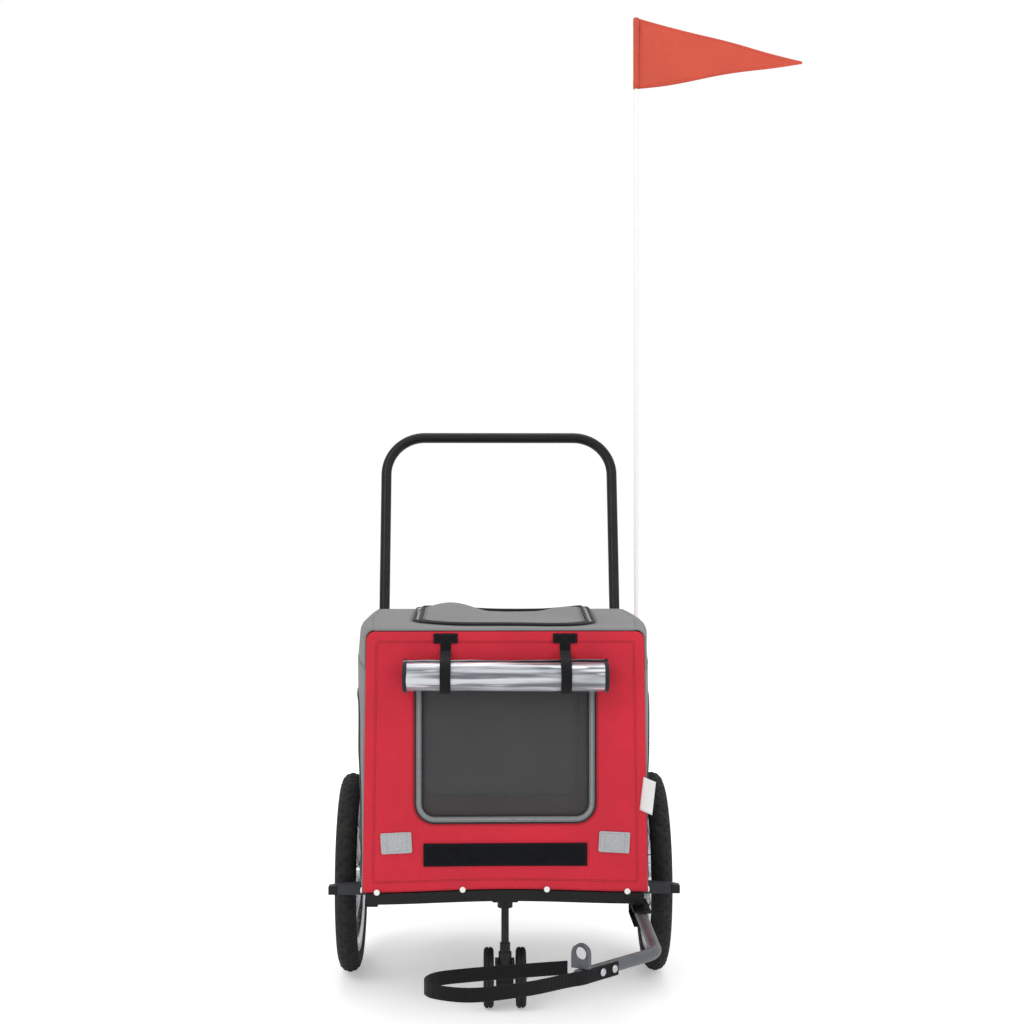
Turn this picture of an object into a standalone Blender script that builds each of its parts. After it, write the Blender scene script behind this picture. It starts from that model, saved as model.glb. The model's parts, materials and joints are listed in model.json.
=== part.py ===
"""Two-wheeled bicycle trailer for a pet or cargo, with a caster and push handle so it is a stroller too.

Metres, +Z up. The front faces -Y, and +X is the trailer's own left side.
The pieces are laid out with heights over the ground and depths from the wheel axle. build() then lowers
everything, so that the origin is in the middle of the floor mat's top face, straight above the axle.
"""

import math

import bmesh
import bpy
from mathutils import Matrix, Vector

X_AXIS = Vector((1, 0, 0))
Z_AXIS = Vector((0, 0, 1))
GAP = 0.0003
SIDES = {"left": 1, "right": -1}

# Driving dimensions.
WHEEL_RADIUS = 0.1525
TRACK = 0.4692
TYRE_WIDTH = 0.032
FRONT_Y = -0.266
REAR_Y = 0.251
FRAME_TOP = 0.177
MAT_TOP = 0.1886
CABIN_TOP = 0.547
FRONT_HALF = (0.2005, 0.1955)
REAR_HALF = 0.2155
CORNER_RADIUS = 0.014
CLOTH = 0.002
SIDE_HALF = {"beside_wheels": 0.2150, "over_wheels": 0.2220, "under_roof": 0.2165}

# Base frame and hoops.
RAIL_X = 0.1875
RAIL_SIZE = (0.016, 0.020)
CROSS_TUBE = 0.0156
FRONT_TUBE_Y = -0.260
REAR_TUBE_Y = 0.240
FRONT_TUBE_RISE = 0.0045
FRONT_TUBE_HALF = 0.1953
HOOP_RADIUS = 0.008
HOOP_BEND = 0.024
HOOP_PIVOT_Z = 0.198
HOOP_TOP_Z = 0.535
HOOP_PIVOT_Y = {"front": -0.255, "rear": 0.240}
HOOP_FOOT_X = {"front": 0.1900, "rear": 0.2045}
HOOP_HEAD_X = {"front": 0.1848, "rear": 0.2035}
LUG_X = {"front": 0.1797, "rear": 0.1930}
LUG_THICKNESS = 0.004
BOLT_RADIUS = 0.003
BOLT_HOLE = 0.0033

# Wheels.
WHEEL_X = TRACK / 2
AXLE_RADIUS = 0.006
AXLE_BORE = 0.0063
HUB_HALF = 0.0200
RIM_BED = 0.1180
SPOKES = 12

# Caster.
CASTER_STEM_Y = -0.235
CASTER_AXLE_Y = -0.210
CASTER_RADIUS = 0.043
CASTER_WIDTH = 0.015
CASTER_X = 0.0232

# Push handle.
HANDLE_RADIUS = 0.0092
HANDLE_X = 0.2045
HANDLE_PIVOT = (0.275, 0.190)
HANDLE_TOP_Z = 0.848
HANDLE_LEAN = math.radians(15)
HANDLE_BEND = 0.069

# Flag.
POLE_X = 0.236
POLE_Y = 0.290
POLE_RADIUS = 0.004
POLE_TOP = 1.5725
FLAG_LENGTH = 0.286

# Tow bar.
TOW_RADIUS = 0.008
TOW_Z = 0.1465
TOW_PIVOT = (0.1905, -0.240)
TOW_BEND = (0.1910, -0.478)
TOW_END = (0.0834, -0.584)

# Openings in the cloth: half width, bottom or front, top or rear.
WINDOW = (0.1275, 0.2750, 0.4900)
REAR_WINDOW = (0.1290, 0.2300, 0.4800)
ROOF_OPENING = (0.1350, -0.2250, 0.1050)
ZIP_WIDTH = 0.0130


def tint(red, green, blue):
    """A linear colour from the usual 0 to 255 display values."""
    return tuple((v / 255) ** 2.2 for v in (red, green, blue)) + (1.0,)


MATERIALS = {
    "frame_black": (tint(34, 34, 36), 0.42, 0.3),
    "tube_grey": (tint(150, 152, 156), 0.35, 0.9),
    "bare_steel": (tint(196, 198, 202), 0.30, 1.0),
    "rim_silver": (tint(188, 190, 194), 0.32, 0.9),
    "tyre_black": (tint(26, 26, 27), 0.85, 0.0),
    "plastic_black": (tint(30, 30, 32), 0.55, 0.0),
    "plastic_grey": (tint(78, 80, 84), 0.55, 0.0),
    "fabric_red": (tint(204, 47, 64), 0.80, 0.0),
    "fabric_grey": (tint(136, 136, 136), 0.85, 0.0),
    "fabric_dark": (tint(60, 61, 64), 0.90, 0.0),
    "mesh_dark": (tint(75, 75, 76), 0.90, 0.0),
    "webbing_black": (tint(28, 30, 34), 0.90, 0.0),
    "zip_black": (tint(40, 41, 44), 0.60, 0.0),
    "cover_clear": (tint(190, 194, 200), 0.15, 0.0),
    "reflector_white": (tint(236, 238, 240), 0.20, 0.0),
    "pole_white": (tint(238, 238, 236), 0.40, 0.0),
    "flag_orange": (tint(218, 94, 72), 0.75, 0.0),
}


# Geometry helpers.


def clear_scene():
    for found in list(bpy.data.objects):
        bpy.data.objects.remove(found)


def material(name):
    """The named Principled material, made on first use."""
    found = bpy.data.materials.get(name)
    if found:
        return found
    colour, roughness, metallic = MATERIALS[name]
    made = bpy.data.materials.new(name)
    made.use_nodes = True
    shader = made.node_tree.nodes["Principled BSDF"]
    shader.inputs["Base Color"].default_value = colour
    shader.inputs["Roughness"].default_value = roughness
    shader.inputs["Metallic"].default_value = metallic
    return made


def mix(a, b, share):
    return a + (b - a) * share


def loft(rings, closed=False):
    """A closed body through rings of points. The ends are capped, or joined together if closed is true."""
    body = bmesh.new()
    loops = [[body.verts.new(point) for point in ring] for ring in rings]
    followers = loops[1:] + loops[:1] if closed else loops[1:]
    for here, there in zip(loops, followers):
        for i in range(len(here)):
            j = (i + 1) % len(here)
            body.faces.new((here[i], here[j], there[j], there[i]))
    if not closed:
        body.faces.new(list(reversed(loops[0])))
        body.faces.new(loops[-1])
    bmesh.ops.recalc_face_normals(body, faces=body.faces)
    return body


def merge(bodies):
    """Several separate bodies in one mesh, to be joined to something else by a Boolean."""
    whole = bmesh.new()
    for body in bodies:
        mesh = bpy.data.meshes.new("scratch")
        body.to_mesh(mesh)
        whole.from_mesh(mesh)
        bpy.data.meshes.remove(mesh)
        body.free()
    return whole


def across(axis):
    """Two directions square to an axis and to each other."""
    axis = Vector(axis).normalized()
    helper = Z_AXIS if abs(axis.z) < 0.9 else X_AXIS
    first = helper.cross(axis).normalized()
    return first, axis.cross(first)


def circle(centre, axis, radius, sides):
    first, second = across(axis)
    turns = [2 * math.pi * (i + 0.5) / sides for i in range(sides)]
    return [Vector(centre) + radius * (math.cos(t) * first + math.sin(t) * second) for t in turns]


def spindle(origin, axis, profile, sides=16):
    """A solid turned about an axis. The profile is (radius, distance along the axis), end to end."""
    origin, axis = Vector(origin), Vector(axis).normalized()
    return loft([circle(origin + axis * along, axis, radius, sides) for radius, along in profile])


def turned_ring(origin, axis, profile, sides=16):
    """A ring turned about an axis. The profile is a closed loop of (radius, distance along the axis)."""
    origin, axis = Vector(origin), Vector(axis).normalized()
    return loft([circle(origin + axis * along, axis, radius, sides) for radius, along in profile], True)


def box(low, high):
    (x0, y0, z0), (x1, y1, z1) = low, high
    return loft([[(x0, y0, z), (x1, y0, z), (x1, y1, z), (x0, y1, z)] for z in (z0, z1)])


def side_box(side, x_range, y_range, z_range):
    """A box given by its distances from the middle plane, on one side of it."""
    xs = sorted(side * x for x in x_range)
    return box((xs[0], y_range[0], z_range[0]), (xs[1], y_range[1], z_range[1]))


def filleted(points, radius, steps=6):
    """A polyline whose inner corners are arcs of this radius."""
    points = [Vector(p) for p in points]
    path = [points[0]]
    for before, corner, after in zip(points, points[1:], points[2:]):
        come = (before - corner).normalized()
        leave = (after - corner).normalized()
        half = come.angle(leave) / 2
        setback = radius / math.tan(half)
        centre = corner + (come + leave).normalized() * radius / math.sin(half)
        start = corner + come * setback - centre
        end = corner + leave * setback - centre
        turn = start.angle(end)
        for i in range(steps + 1):
            share = i / steps
            arm = (math.sin((1 - share) * turn) * start + math.sin(share * turn) * end) / math.sin(turn)
            path.append(centre + arm)
    path.append(points[-1])
    return path


def directions(path):
    """The way a polyline runs at each of its points."""
    last = len(path) - 1
    return [(path[min(i + 1, last)] - path[max(i - 1, 0)]).normalized() for i in range(last + 1)]


def tube(path, radius, sides=12):
    """A round bar along a path, with its section turned as little as possible from point to point."""
    ways = directions(path)
    first = across(ways[0])[0]
    rings = []
    for point, way in zip(path, ways):
        first = (first - way * first.dot(way)).normalized()
        second = way.cross(first)
        turns = [2 * math.pi * (i + 0.5) / sides for i in range(sides)]
        rings.append([point + radius * (math.cos(t) * first + math.sin(t) * second) for t in turns])
    return loft(rings)


def smooth_path(points, steps=5):
    """A smooth curve through a few points (Catmull-Rom)."""
    points = [Vector(p) for p in points]
    ends = [2 * points[0] - points[1]] + points + [2 * points[-1] - points[-2]]
    path = [points[0]]
    for a, b, c, d in zip(ends, ends[1:], ends[2:], ends[3:]):
        linear = c - a
        square = 2 * a - 5 * b + 4 * c - d
        cubic = 3 * b - a - 3 * c + d
        for i in range(1, steps + 1):
            t = i / steps
            path.append(b + 0.5 * (linear * t + square * t**2 + cubic * t**3))
    return path


def band(path, thickness, width_way, half_widths):
    """A flat strap along a path. width_way is the direction of its width."""
    width_way = Vector(width_way)
    rings = []
    for point, way, half in zip(path, directions(path), half_widths):
        face = width_way.cross(way).normalized() * thickness / 2
        wide = width_way * half
        rings.append([point + face + wide, point + face - wide, point - face - wide, point - face + wide])
    return loft(rings)


def rounded_outline(half, low, high, radii, steps=5):
    """A rounded rectangle as (x, height) pairs. radii are for its lower and its upper corners."""
    bottom, top = radii
    corners = [
        (half - bottom, low + bottom, bottom, -90),
        (half - top, high - top, top, 0),
        (top - half, high - top, top, 90),
        (bottom - half, low + bottom, bottom, 180),
    ]
    points = []
    for x, z, radius, start in corners:
        for i in range(steps + 1):
            turn = math.radians(start + 90 * i / steps)
            points.append((x + radius * math.cos(turn), z + radius * math.sin(turn)))
    return points


def upright(outline, y):
    return [(x, y, z) for x, z in outline]


def level(outline, z):
    return [(x, y, z) for x, y in outline]


def wall_plate(outline, y_range):
    """A plate standing across the trailer."""
    return loft([upright(outline, y) for y in y_range])


def frame_plate(outer, inner, near, far, place):
    """A flat frame between two outlines with the same number of points."""
    return loft([place(outer, near), place(outer, far), place(inner, far), place(inner, near)], True)


# Assembly helpers.


def add(name, body, finish, parent=None, sharp=35):
    """One named sub-part. Its mesh is given in place, and its origin goes to its parent's joint."""
    mesh = bpy.data.meshes.new(name)
    body.to_mesh(mesh)
    body.free()
    mesh.materials.append(material(finish))
    mesh.shade_smooth()
    mesh.set_sharp_from_angle(angle=math.radians(sharp))
    made = bpy.data.objects.new(name, mesh)
    bpy.context.scene.collection.objects.link(made)
    if parent:
        mesh.transform(Matrix.Translation(-parent.matrix_world.translation))
        made.parent = parent
    return made


def combine(part, bodies, operation):
    """Joins or cuts a sub-part with other bodies, one after another."""
    for body in bodies:
        mesh = bpy.data.meshes.new("helper")
        body.to_mesh(mesh)
        body.free()
        helper = bpy.data.objects.new("helper", mesh)
        bpy.context.scene.collection.objects.link(helper)
        boolean = part.modifiers.new(operation.lower(), "BOOLEAN")
        boolean.operation = operation
        boolean.solver = "EXACT"
        boolean.object = helper
        bpy.context.view_layer.update()
        shaped = part.evaluated_get(bpy.context.evaluated_depsgraph_get())
        result = bpy.data.meshes.new_from_object(shaped)
        part.modifiers.clear()
        part.data = result
        bpy.data.objects.remove(helper)
    part.data.name = part.name
    return part


def joint_empty(name, place, parent=None):
    """An empty on a joint's axis, which carries the pieces that move with it."""
    empty = bpy.data.objects.new(name, None)
    empty.empty_display_size = 0.03
    bpy.context.scene.collection.objects.link(empty)
    empty.location = place
    if parent:
        empty.parent = parent
        empty.location = Vector(place) - parent.matrix_world.translation
    bpy.context.view_layer.update()
    return empty


# Cabin shape.


def ease(share):
    """Goes smoothly from 0 to 1 as share does, and stays there."""
    share = min(max(share, 0), 1)
    return share * share * (3 - 2 * share)


def cloth_half(y, z):
    """Half width of the cabin's outer cloth at this depth and height. It swells behind the front wall."""
    along = (y - FRONT_Y) / (REAR_Y - FRONT_Y)
    up = min(max((z - FRAME_TOP) / (CABIN_TOP - FRAME_TOP), 0), 1)
    front = mix(*FRONT_HALF, up)
    middle = mix(SIDE_HALF["beside_wheels"], SIDE_HALF["over_wheels"], ease((z - 0.300) / 0.070))
    middle = mix(middle, SIDE_HALF["under_roof"], ease((z - 0.470) / 0.075))
    behind = mix(middle, REAR_HALF, ease((along - 0.75) / 0.25))
    return mix(front, behind, math.sin(math.pi / 2 * min(max(along / 0.45, 0), 1)))


def front_arch(x):
    """How far the middle of the front tube rises, this far from the middle plane."""
    return FRONT_TUBE_RISE * math.cos(math.pi / 2 * min(abs(x) / FRONT_TUBE_HALF, 1)) ** 2


def wall_outline(halves, low, high, arch=lambda x: 0):
    """Outline of a front or rear wall: straight sides leaning in, rounded top corners."""
    shoulder = high - CORNER_RADIUS
    top_half = halves[1]
    points = [(x, low + arch(x)) for x in (mix(-halves[0], halves[0], i / 16) for i in range(17))]
    bottom = len(points)
    for i in range(6):
        turn = math.pi / 2 * i / 5
        x = top_half - CORNER_RADIUS + CORNER_RADIUS * math.cos(turn)
        points.append((x, shoulder + CORNER_RADIUS * math.sin(turn)))
    return points + [(-x, z) for x, z in reversed(points[bottom:])]


# Base frame and what is fixed to it.


def base_frame():
    """Welded base: two side rails, an arched front tube, a rear tube, the axle beam and the hoop lugs."""
    rail_x = (RAIL_X - RAIL_SIZE[0] / 2, RAIL_X + RAIL_SIZE[0] / 2)
    rail_z = (FRAME_TOP - RAIL_SIZE[1], FRAME_TOP)
    rails = {side: side_box(side, rail_x, (-0.262, REAR_Y), rail_z) for side in SIDES.values()}
    part = add("base_frame", rails[1], "frame_black")
    end_x = FRONT_TUBE_HALF
    half = CROSS_TUBE / 2
    tube_z = FRAME_TOP - 0.0002 - half
    steps = 16
    arch = []
    for i in range(steps + 1):
        x = mix(-end_x, end_x, i / steps)
        z = tube_z + front_arch(x)
        corners = ((-half, -half), (half, -half), (half, half), (-half, half))
        arch.append([(x, FRONT_TUBE_Y + dy, z + dz) for dy, dz in corners])
    rear = box((-end_x, REAR_TUBE_Y - half, tube_z - half), (end_x, REAR_TUBE_Y + half, tube_z + half))
    beam = box((-0.198, -0.012, WHEEL_RADIUS - 0.012), (0.198, 0.012, WHEEL_RADIUS + 0.012))
    joined = [rails[-1], loft(arch), rear, beam]
    for end, pivot_y in HOOP_PIVOT_Y.items():
        lug_x = (LUG_X[end] - LUG_THICKNESS / 2, LUG_X[end] + LUG_THICKNESS / 2)
        for side in SIDES.values():
            depth = (pivot_y - 0.0080, pivot_y + 0.0080)
            joined.append(side_box(side, lug_x, depth, (0.166, HOOP_PIVOT_Z + 0.010)))
    combine(part, joined, "UNION")
    cuts = [hoop_pivot_hole(end) for end in HOOP_PIVOT_Y]
    bore = [(AXLE_BORE, 0), (AXLE_BORE, 0.06)]
    for side in SIDES.values():
        cuts.append(spindle((side * 0.150, 0, WHEEL_RADIUS), side * X_AXIS, bore, 20))
    combine(part, cuts, "DIFFERENCE")


def hoop_pivot_hole(place):
    start = (-0.22, HOOP_PIVOT_Y[place], HOOP_PIVOT_Z)
    return spindle(start, X_AXIS, [(BOLT_HOLE, 0), (BOLT_HOLE, 0.44)])


def floor():
    add("floor_board", box((-0.1845, -0.238, FRAME_TOP + GAP), (0.1845, 0.222, 0.1803)), "plastic_black")
    outline = [(x, y) for x, y in rounded_outline(0.157, -0.232, 0.216, (0.02, 0.02), 4)]
    add("floor_mat", loft([level(outline, 0.1806), level(outline, MAT_TOP)]), "fabric_dark")


def wheel_guards():
    """Short bars that stick out of the rails in front of the wheels, each with an end cap."""
    near = RAIL_X + RAIL_SIZE[0] / 2 + GAP
    y0, y1 = -0.1835, -0.1675
    bottom = 0.1565
    for name, side in SIDES.items():
        for label, finish, ends, tops in (
            ("guard_bar_", "plastic_grey", (near, 0.2430), (0.1745, 0.1700)),
            ("guard_cap_", "plastic_black", (0.2433, 0.2560), (0.1705, 0.1685)),
        ):
            rings = [
                [(side * x, y0, bottom), (side * x, y1, bottom), (side * x, y1, top), (side * x, y0, top)]
                for x, top in zip(ends, tops)
            ]
            add(label + name, loft(rings), finish)


def handle_brackets():
    """A channel behind each rail that holds the foot of the push handle between two plates."""
    pivot_y, pivot_z = HANDLE_PIVOT
    for name, side in SIDES.items():
        plan = [
            (0.1800, 0.2515),
            (0.2176, 0.2515),
            (0.2176, 0.2890),
            (0.2146, 0.2890),
            (0.2146, 0.2545),
            (0.1944, 0.2545),
            (0.1944, 0.2890),
            (0.1914, 0.2890),
            (0.1914, 0.2545),
            (0.1800, 0.2545),
        ]
        outline = [(side * x, y) for x, y in plan]
        channel = loft([level(outline, 0.168), level(outline, 0.224)])
        part = add("handle_bracket_" + name, channel, "frame_black")
        hole = spindle((side * 0.185, pivot_y, pivot_z), side * X_AXIS, [(BOLT_HOLE, 0), (BOLT_HOLE, 0.04)])
        combine(part, [hole], "DIFFERENCE")


def flag_holder():
    """A sleeve for the flag pole on an arm off the left handle bracket."""
    arm = box((0.2179, 0.270, 0.2140), (0.2300, 0.2965, 0.2235))
    sleeve = spindle(
        (POLE_X, POLE_Y, 0.214),
        Z_AXIS,
        [(0.0075, 0), (0.0075, 0.050), (0.0043, 0.050), (0.0043, 0.004)],
    )
    part = add("flag_holder", sleeve, "plastic_black")
    combine(part, [arm], "UNION")


def tow_bracket():
    """A channel under the left rail, open to the front, with the tow bar's pivot bolt through it."""
    x0, x1 = TOW_PIVOT[0] - 0.0125, TOW_PIVOT[0] + 0.0125
    front, back = -0.300, -0.2145
    low, high, wall = 0.1362, 0.1567, 0.0019
    profile = [
        (front, high),
        (back, high),
        (back, low),
        (front, low),
        (front, low + wall),
        (back - 0.002, low + wall),
        (back - 0.002, high - wall),
        (front, high - wall),
    ]
    part = add("tow_bracket", loft([[(x, y, z) for y, z in profile] for x in (x0, x1)]), "frame_black")
    combine(part, [tow_pivot_hole()], "DIFFERENCE")
    head = [(0.0065, -0.0052), (0.0065, -0.0003), (BOLT_RADIUS, -0.0003), (BOLT_RADIUS, high - low - 0.0001)]
    add("tow_bolt", spindle((*TOW_PIVOT, low), Z_AXIS, head, 12), "bare_steel")


def tow_pivot_hole():
    return spindle((*TOW_PIVOT, 0.12), Z_AXIS, [(BOLT_HOLE, 0), (BOLT_HOLE, 0.06)])


def caster_socket():
    """The upright sleeve behind the front tube that the caster's stem turns in."""
    sleeve = turned_ring(
        (0, CASTER_STEM_Y, 0.1500),
        Z_AXIS,
        [(0.0110, 0), (0.0110, 0.0255), (0.0058, 0.0255), (0.0058, 0)],
    )
    part = add("caster_socket", sleeve, "frame_black")
    arms = [side_box(side, (0.0075, 0.0180), (-0.2517, -0.2320), (0.160, 0.172)) for side in SIDES.values()]
    combine(part, arms, "UNION")


def hoop_bolts():
    """Shoulder bolts that the hoops turn on, with their heads inside the cabin."""
    start = {"front": 0.1774, "rear": 0.1907}
    end = {"front": 0.1970, "rear": 0.2120}
    for place, pivot_y in HOOP_PIVOT_Y.items():
        length = end[place] - start[place]
        profile = [(0.0055, -0.0022), (0.0055, 0), (BOLT_RADIUS, 0), (BOLT_RADIUS, length)]
        for name, side in SIDES.items():
            head = (side * start[place], pivot_y, HOOP_PIVOT_Z)
            bolt = spindle(head, side * X_AXIS, profile, 12)
            add(f"hoop_bolt_{place}_{name}", bolt, "bare_steel")


# Soft cabin.


def side_panels():
    """Cloth side walls that lean, bulge and turn over the top edge."""
    bottom = FRAME_TOP + 0.0015
    shoulder = CABIN_TOP - CORNER_RADIUS
    heights = [mix(bottom, shoulder, i / 8) for i in range(9)]
    depths = [mix(FRONT_Y + 0.0026, REAR_Y - 0.0026, i / 12) for i in range(13)]
    for name, side in SIDES.items():
        rings = []
        for y in depths:
            section = []
            for inset in (0, CLOTH):
                line = [(cloth_half(y, z) - inset, z) for z in heights[:-1]]
                radius = CORNER_RADIUS - inset
                for i in range(5):
                    turn = math.pi / 2 * i / 4
                    x = cloth_half(y, shoulder) - CORNER_RADIUS + radius * math.cos(turn)
                    line.append((x, shoulder + radius * math.sin(turn)))
                section += line if inset == 0 else list(reversed(line))
            rings.append([(side * x, y, z) for x, z in section])
        add("side_panel_" + name, loft(rings), "fabric_grey")


def roof():
    """Roof cloth with its zipped opening, the zip round it and the flap that closes it."""
    shoulder = CABIN_TOP - CORNER_RADIUS
    depths = [mix(FRONT_Y, REAR_Y - GAP, i / 12) for i in range(13)]
    edge = [(cloth_half(y, shoulder) - CORNER_RADIUS - GAP, y) for y in depths]
    outline = edge + [(-x, y) for x, y in reversed(edge)]
    sheet = (CABIN_TOP - CLOTH, CABIN_TOP)
    joint = joint_empty("roof_joint", (0, 0, CABIN_TOP))
    part = add("roof_cover", loft([level(outline, z) for z in sheet]), "fabric_grey", joint)
    half, front, rear = ROOF_OPENING
    corner = 0.09
    opening = rounded_outline(half, front, rear, (corner, corner), 8)
    combine(part, [loft([level(opening, CABIN_TOP - 0.01), level(opening, CABIN_TOP + 0.01)])], "DIFFERENCE")

    def inset(distance):
        radius = corner - distance
        return rounded_outline(half - distance, front + distance, rear - distance, (radius, radius), 8)

    ring = frame_plate(inset(GAP), inset(ZIP_WIDTH), CABIN_TOP - CLOTH, CABIN_TOP + 0.0015, level)
    add("roof_zip", ring, "zip_black", joint)
    hinge = joint_empty("roof_flap_joint", (0, rear - ZIP_WIDTH - 0.001, CABIN_TOP), joint)
    flap = inset(ZIP_WIDTH + GAP)
    add("roof_flap", loft([level(flap, z) for z in sheet]), "fabric_grey", hinge)


# Hoops and what they carry.


def hoop(place, joint):
    """An upside-down U of tube that turns on two lugs of the base frame."""
    y = HOOP_PIVOT_Y[place]
    foot = HOOP_PIVOT_Z - 0.0075
    foot_x, head_x = HOOP_FOOT_X[place], HOOP_HEAD_X[place]
    corners = [(-foot_x, y, foot), (-head_x, y, HOOP_TOP_Z), (head_x, y, HOOP_TOP_Z), (foot_x, y, foot)]
    part = add(place + "_hoop", tube(filleted(corners, HOOP_BEND), HOOP_RADIUS), "frame_black", joint)
    combine(part, [hoop_pivot_hole(place)], "DIFFERENCE")


def front_wall(joint):
    """Red front wall with its zipped mesh window, the rolled-up rain cover, straps and reflectors."""
    outer = FRONT_Y
    inner = FRONT_Y + CLOTH
    half, low, high = WINDOW
    outline = wall_outline(FRONT_HALF, FRAME_TOP + 0.001, CABIN_TOP - CLOTH - GAP, front_arch)
    panel = add("front_panel", wall_plate(outline, (outer, inner)), "fabric_red", joint)
    opening = rounded_outline(half, low, high, (0.028, 0.020))
    combine(panel, [wall_plate(opening, (outer - 0.01, inner + 0.01))], "DIFFERENCE")

    def inset(distance):
        radii = (0.028 - distance, 0.020 - distance)
        return rounded_outline(half - distance, low + distance, high - distance, radii)

    ring = frame_plate(inset(GAP), inset(ZIP_WIDTH), outer - 0.0012, inner - GAP, upright)
    add("window_zip", ring, "zip_black", joint)
    mesh = wall_plate(inset(ZIP_WIDTH + GAP), (outer + 0.0003, outer + 0.0015))
    add("window_mesh", mesh, "mesh_dark", joint)

    roll_radius = 0.0220
    roll_y = outer - 0.0021 - roll_radius
    roll_z = 0.4841
    width = 0.2870
    edge = 0.003
    end = roll_radius - edge
    roll = [(end, 0), (roll_radius, edge), (roll_radius, width - edge), (end, width)]
    add("rolled_cover", spindle((-width / 2, roll_y, roll_z), X_AXIS, roll, 20), "cover_clear", joint)

    strap = 0.0012
    reach = roll_radius + 0.0014
    wall_y = outer - 0.0006 - GAP
    turns = [math.radians(90 + 180 * i / 8) for i in range(9)]
    around = [Vector((0, roll_y + reach * math.cos(t), roll_z + reach * math.sin(t))) for t in turns]
    line = [Vector((0, wall_y, 0.5420)), Vector((0, wall_y, 0.5285)), Vector((0, wall_y, 0.5265))]
    halves = [0.0170, 0.0170, 0.0075] + [0.0075] * 9
    for name, side in SIDES.items():
        path = [point + Vector((side * 0.084, 0, 0)) for point in line + around]
        add("tie_strap_" + name, band(path, strap, X_AXIS, halves), "webbing_black", joint)

    face = outer - GAP
    velcro = rounded_outline(0.1150, 0.2147, 0.2471, (0.003, 0.003), 2)
    add("velcro_strip", wall_plate(velcro, (face - 0.0015, face)), "webbing_black", joint)
    for name, side in SIDES.items():
        shape = rounded_outline(0.0218, 0.2330, 0.2626, (0.002, 0.002), 2)
        shape = [(x + side * 0.1533, z) for x, z in shape]
        add("reflector_" + name, wall_plate(shape, (face - 0.0030, face)), "reflector_white", joint)


def rear_wall(joint):
    """Rear wall cloth with a mesh window."""
    outer = REAR_Y - 0.0005
    inner = outer - CLOTH
    half, low, high = REAR_WINDOW
    halves = (REAR_HALF, REAR_HALF)
    outline = wall_outline(halves, HOOP_PIVOT_Z - 0.0095, CABIN_TOP - CLOTH - GAP)
    panel = add("rear_panel", wall_plate(outline, (inner, outer)), "fabric_red", joint)
    opening = rounded_outline(half, low, high, (0.02, 0.02))
    combine(panel, [wall_plate(opening, (inner - 0.01, outer + 0.01))], "DIFFERENCE")
    mesh = rounded_outline(half - GAP, low + GAP, high - GAP, (0.0197, 0.0197))
    add("rear_mesh", wall_plate(mesh, (inner + 0.0002, inner + 0.0014)), "mesh_dark", joint)


# Wheels.


def tyre_body():
    """An oval tyre section turned about the wheel's axle."""
    middle = (WHEEL_RADIUS + RIM_BED + 0.0006) / 2
    tall = WHEEL_RADIUS - middle
    wide = TYRE_WIDTH / 2
    turns = [2 * math.pi * i / 10 for i in range(10)]
    return [(middle + tall * math.cos(t), wide * math.sin(t)) for t in turns]


def spoke_bodies(centre):
    """Straight spokes from alternate hub flanges to the rim."""
    bodies = []
    for k in range(SPOKES):
        turn = 2 * math.pi * (k + 0.5) / SPOKES
        arm = Vector((0, math.cos(turn), math.sin(turn)))
        flange = X_AXIS * (0.0165 if k % 2 else -0.0165)
        bodies.append(tube([centre + flange + arm * 0.0135, centre + arm * 0.1105], 0.0016, 4))
    return merge(bodies)


def wheels():
    rim_profile = [
        (0.1045, -0.0105),
        (0.1115, -0.0135),
        (0.1215, -0.0135),
        (0.1215, -0.0118),
        (RIM_BED, -0.0105),
        (RIM_BED, 0.0105),
        (0.1215, 0.0118),
        (0.1215, 0.0135),
        (0.1115, 0.0135),
        (0.1045, 0.0105),
    ]
    hub_profile = [
        (AXLE_BORE, -HUB_HALF),
        (0.0130, -HUB_HALF),
        (0.0200, -0.0185),
        (0.0200, -0.0145),
        (0.0140, -0.0125),
        (0.0140, 0.0125),
        (0.0200, 0.0145),
        (0.0200, 0.0185),
        (0.0130, HUB_HALF),
        (AXLE_BORE, HUB_HALF),
    ]
    for name, side in SIDES.items():
        centre = Vector((side * WHEEL_X, 0, WHEEL_RADIUS))
        joint = joint_empty("wheel_joint_" + name, centre)
        add("tyre_" + name, turned_ring(centre, X_AXIS, tyre_body(), 40), "tyre_black", joint)
        rim = add("wheel_rim_" + name, turned_ring(centre, X_AXIS, rim_profile, 40), "rim_silver", joint)
        combine(rim, [spoke_bodies(centre), turned_ring(centre, X_AXIS, hub_profile, 16)], "UNION")


def axles():
    """Stub axles held in the axle beam, each with a release button in its outer end."""
    start = 0.152
    end = WHEEL_X + HUB_HALF + 0.0012
    collar = (0.1984, WHEEL_X - HUB_HALF - GAP)
    for name, side in SIDES.items():
        profile = [
            (AXLE_RADIUS, 0),
            (AXLE_RADIUS, collar[0] - start),
            (0.0105, collar[0] - start),
            (0.0105, collar[1] - start),
            (AXLE_RADIUS, collar[1] - start),
            (AXLE_RADIUS, end - start),
            (0.0034, end - start),
            (0.0034, end - start - 0.007),
        ]
        body = spindle((side * start, 0, WHEEL_RADIUS), side * X_AXIS, profile, 20)
        add("stub_axle_" + name, body, "bare_steel")
        joint = joint_empty("axle_button_joint_" + name, (side * end, 0, WHEEL_RADIUS))
        button = [(0.0031, -0.004), (0.0031, 0.0022), (0.0024, 0.0030)]
        body = spindle((side * end, 0, WHEEL_RADIUS), side * X_AXIS, button, 12)
        add("axle_button_" + name, body, "bare_steel", joint)


# Front caster.


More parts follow.
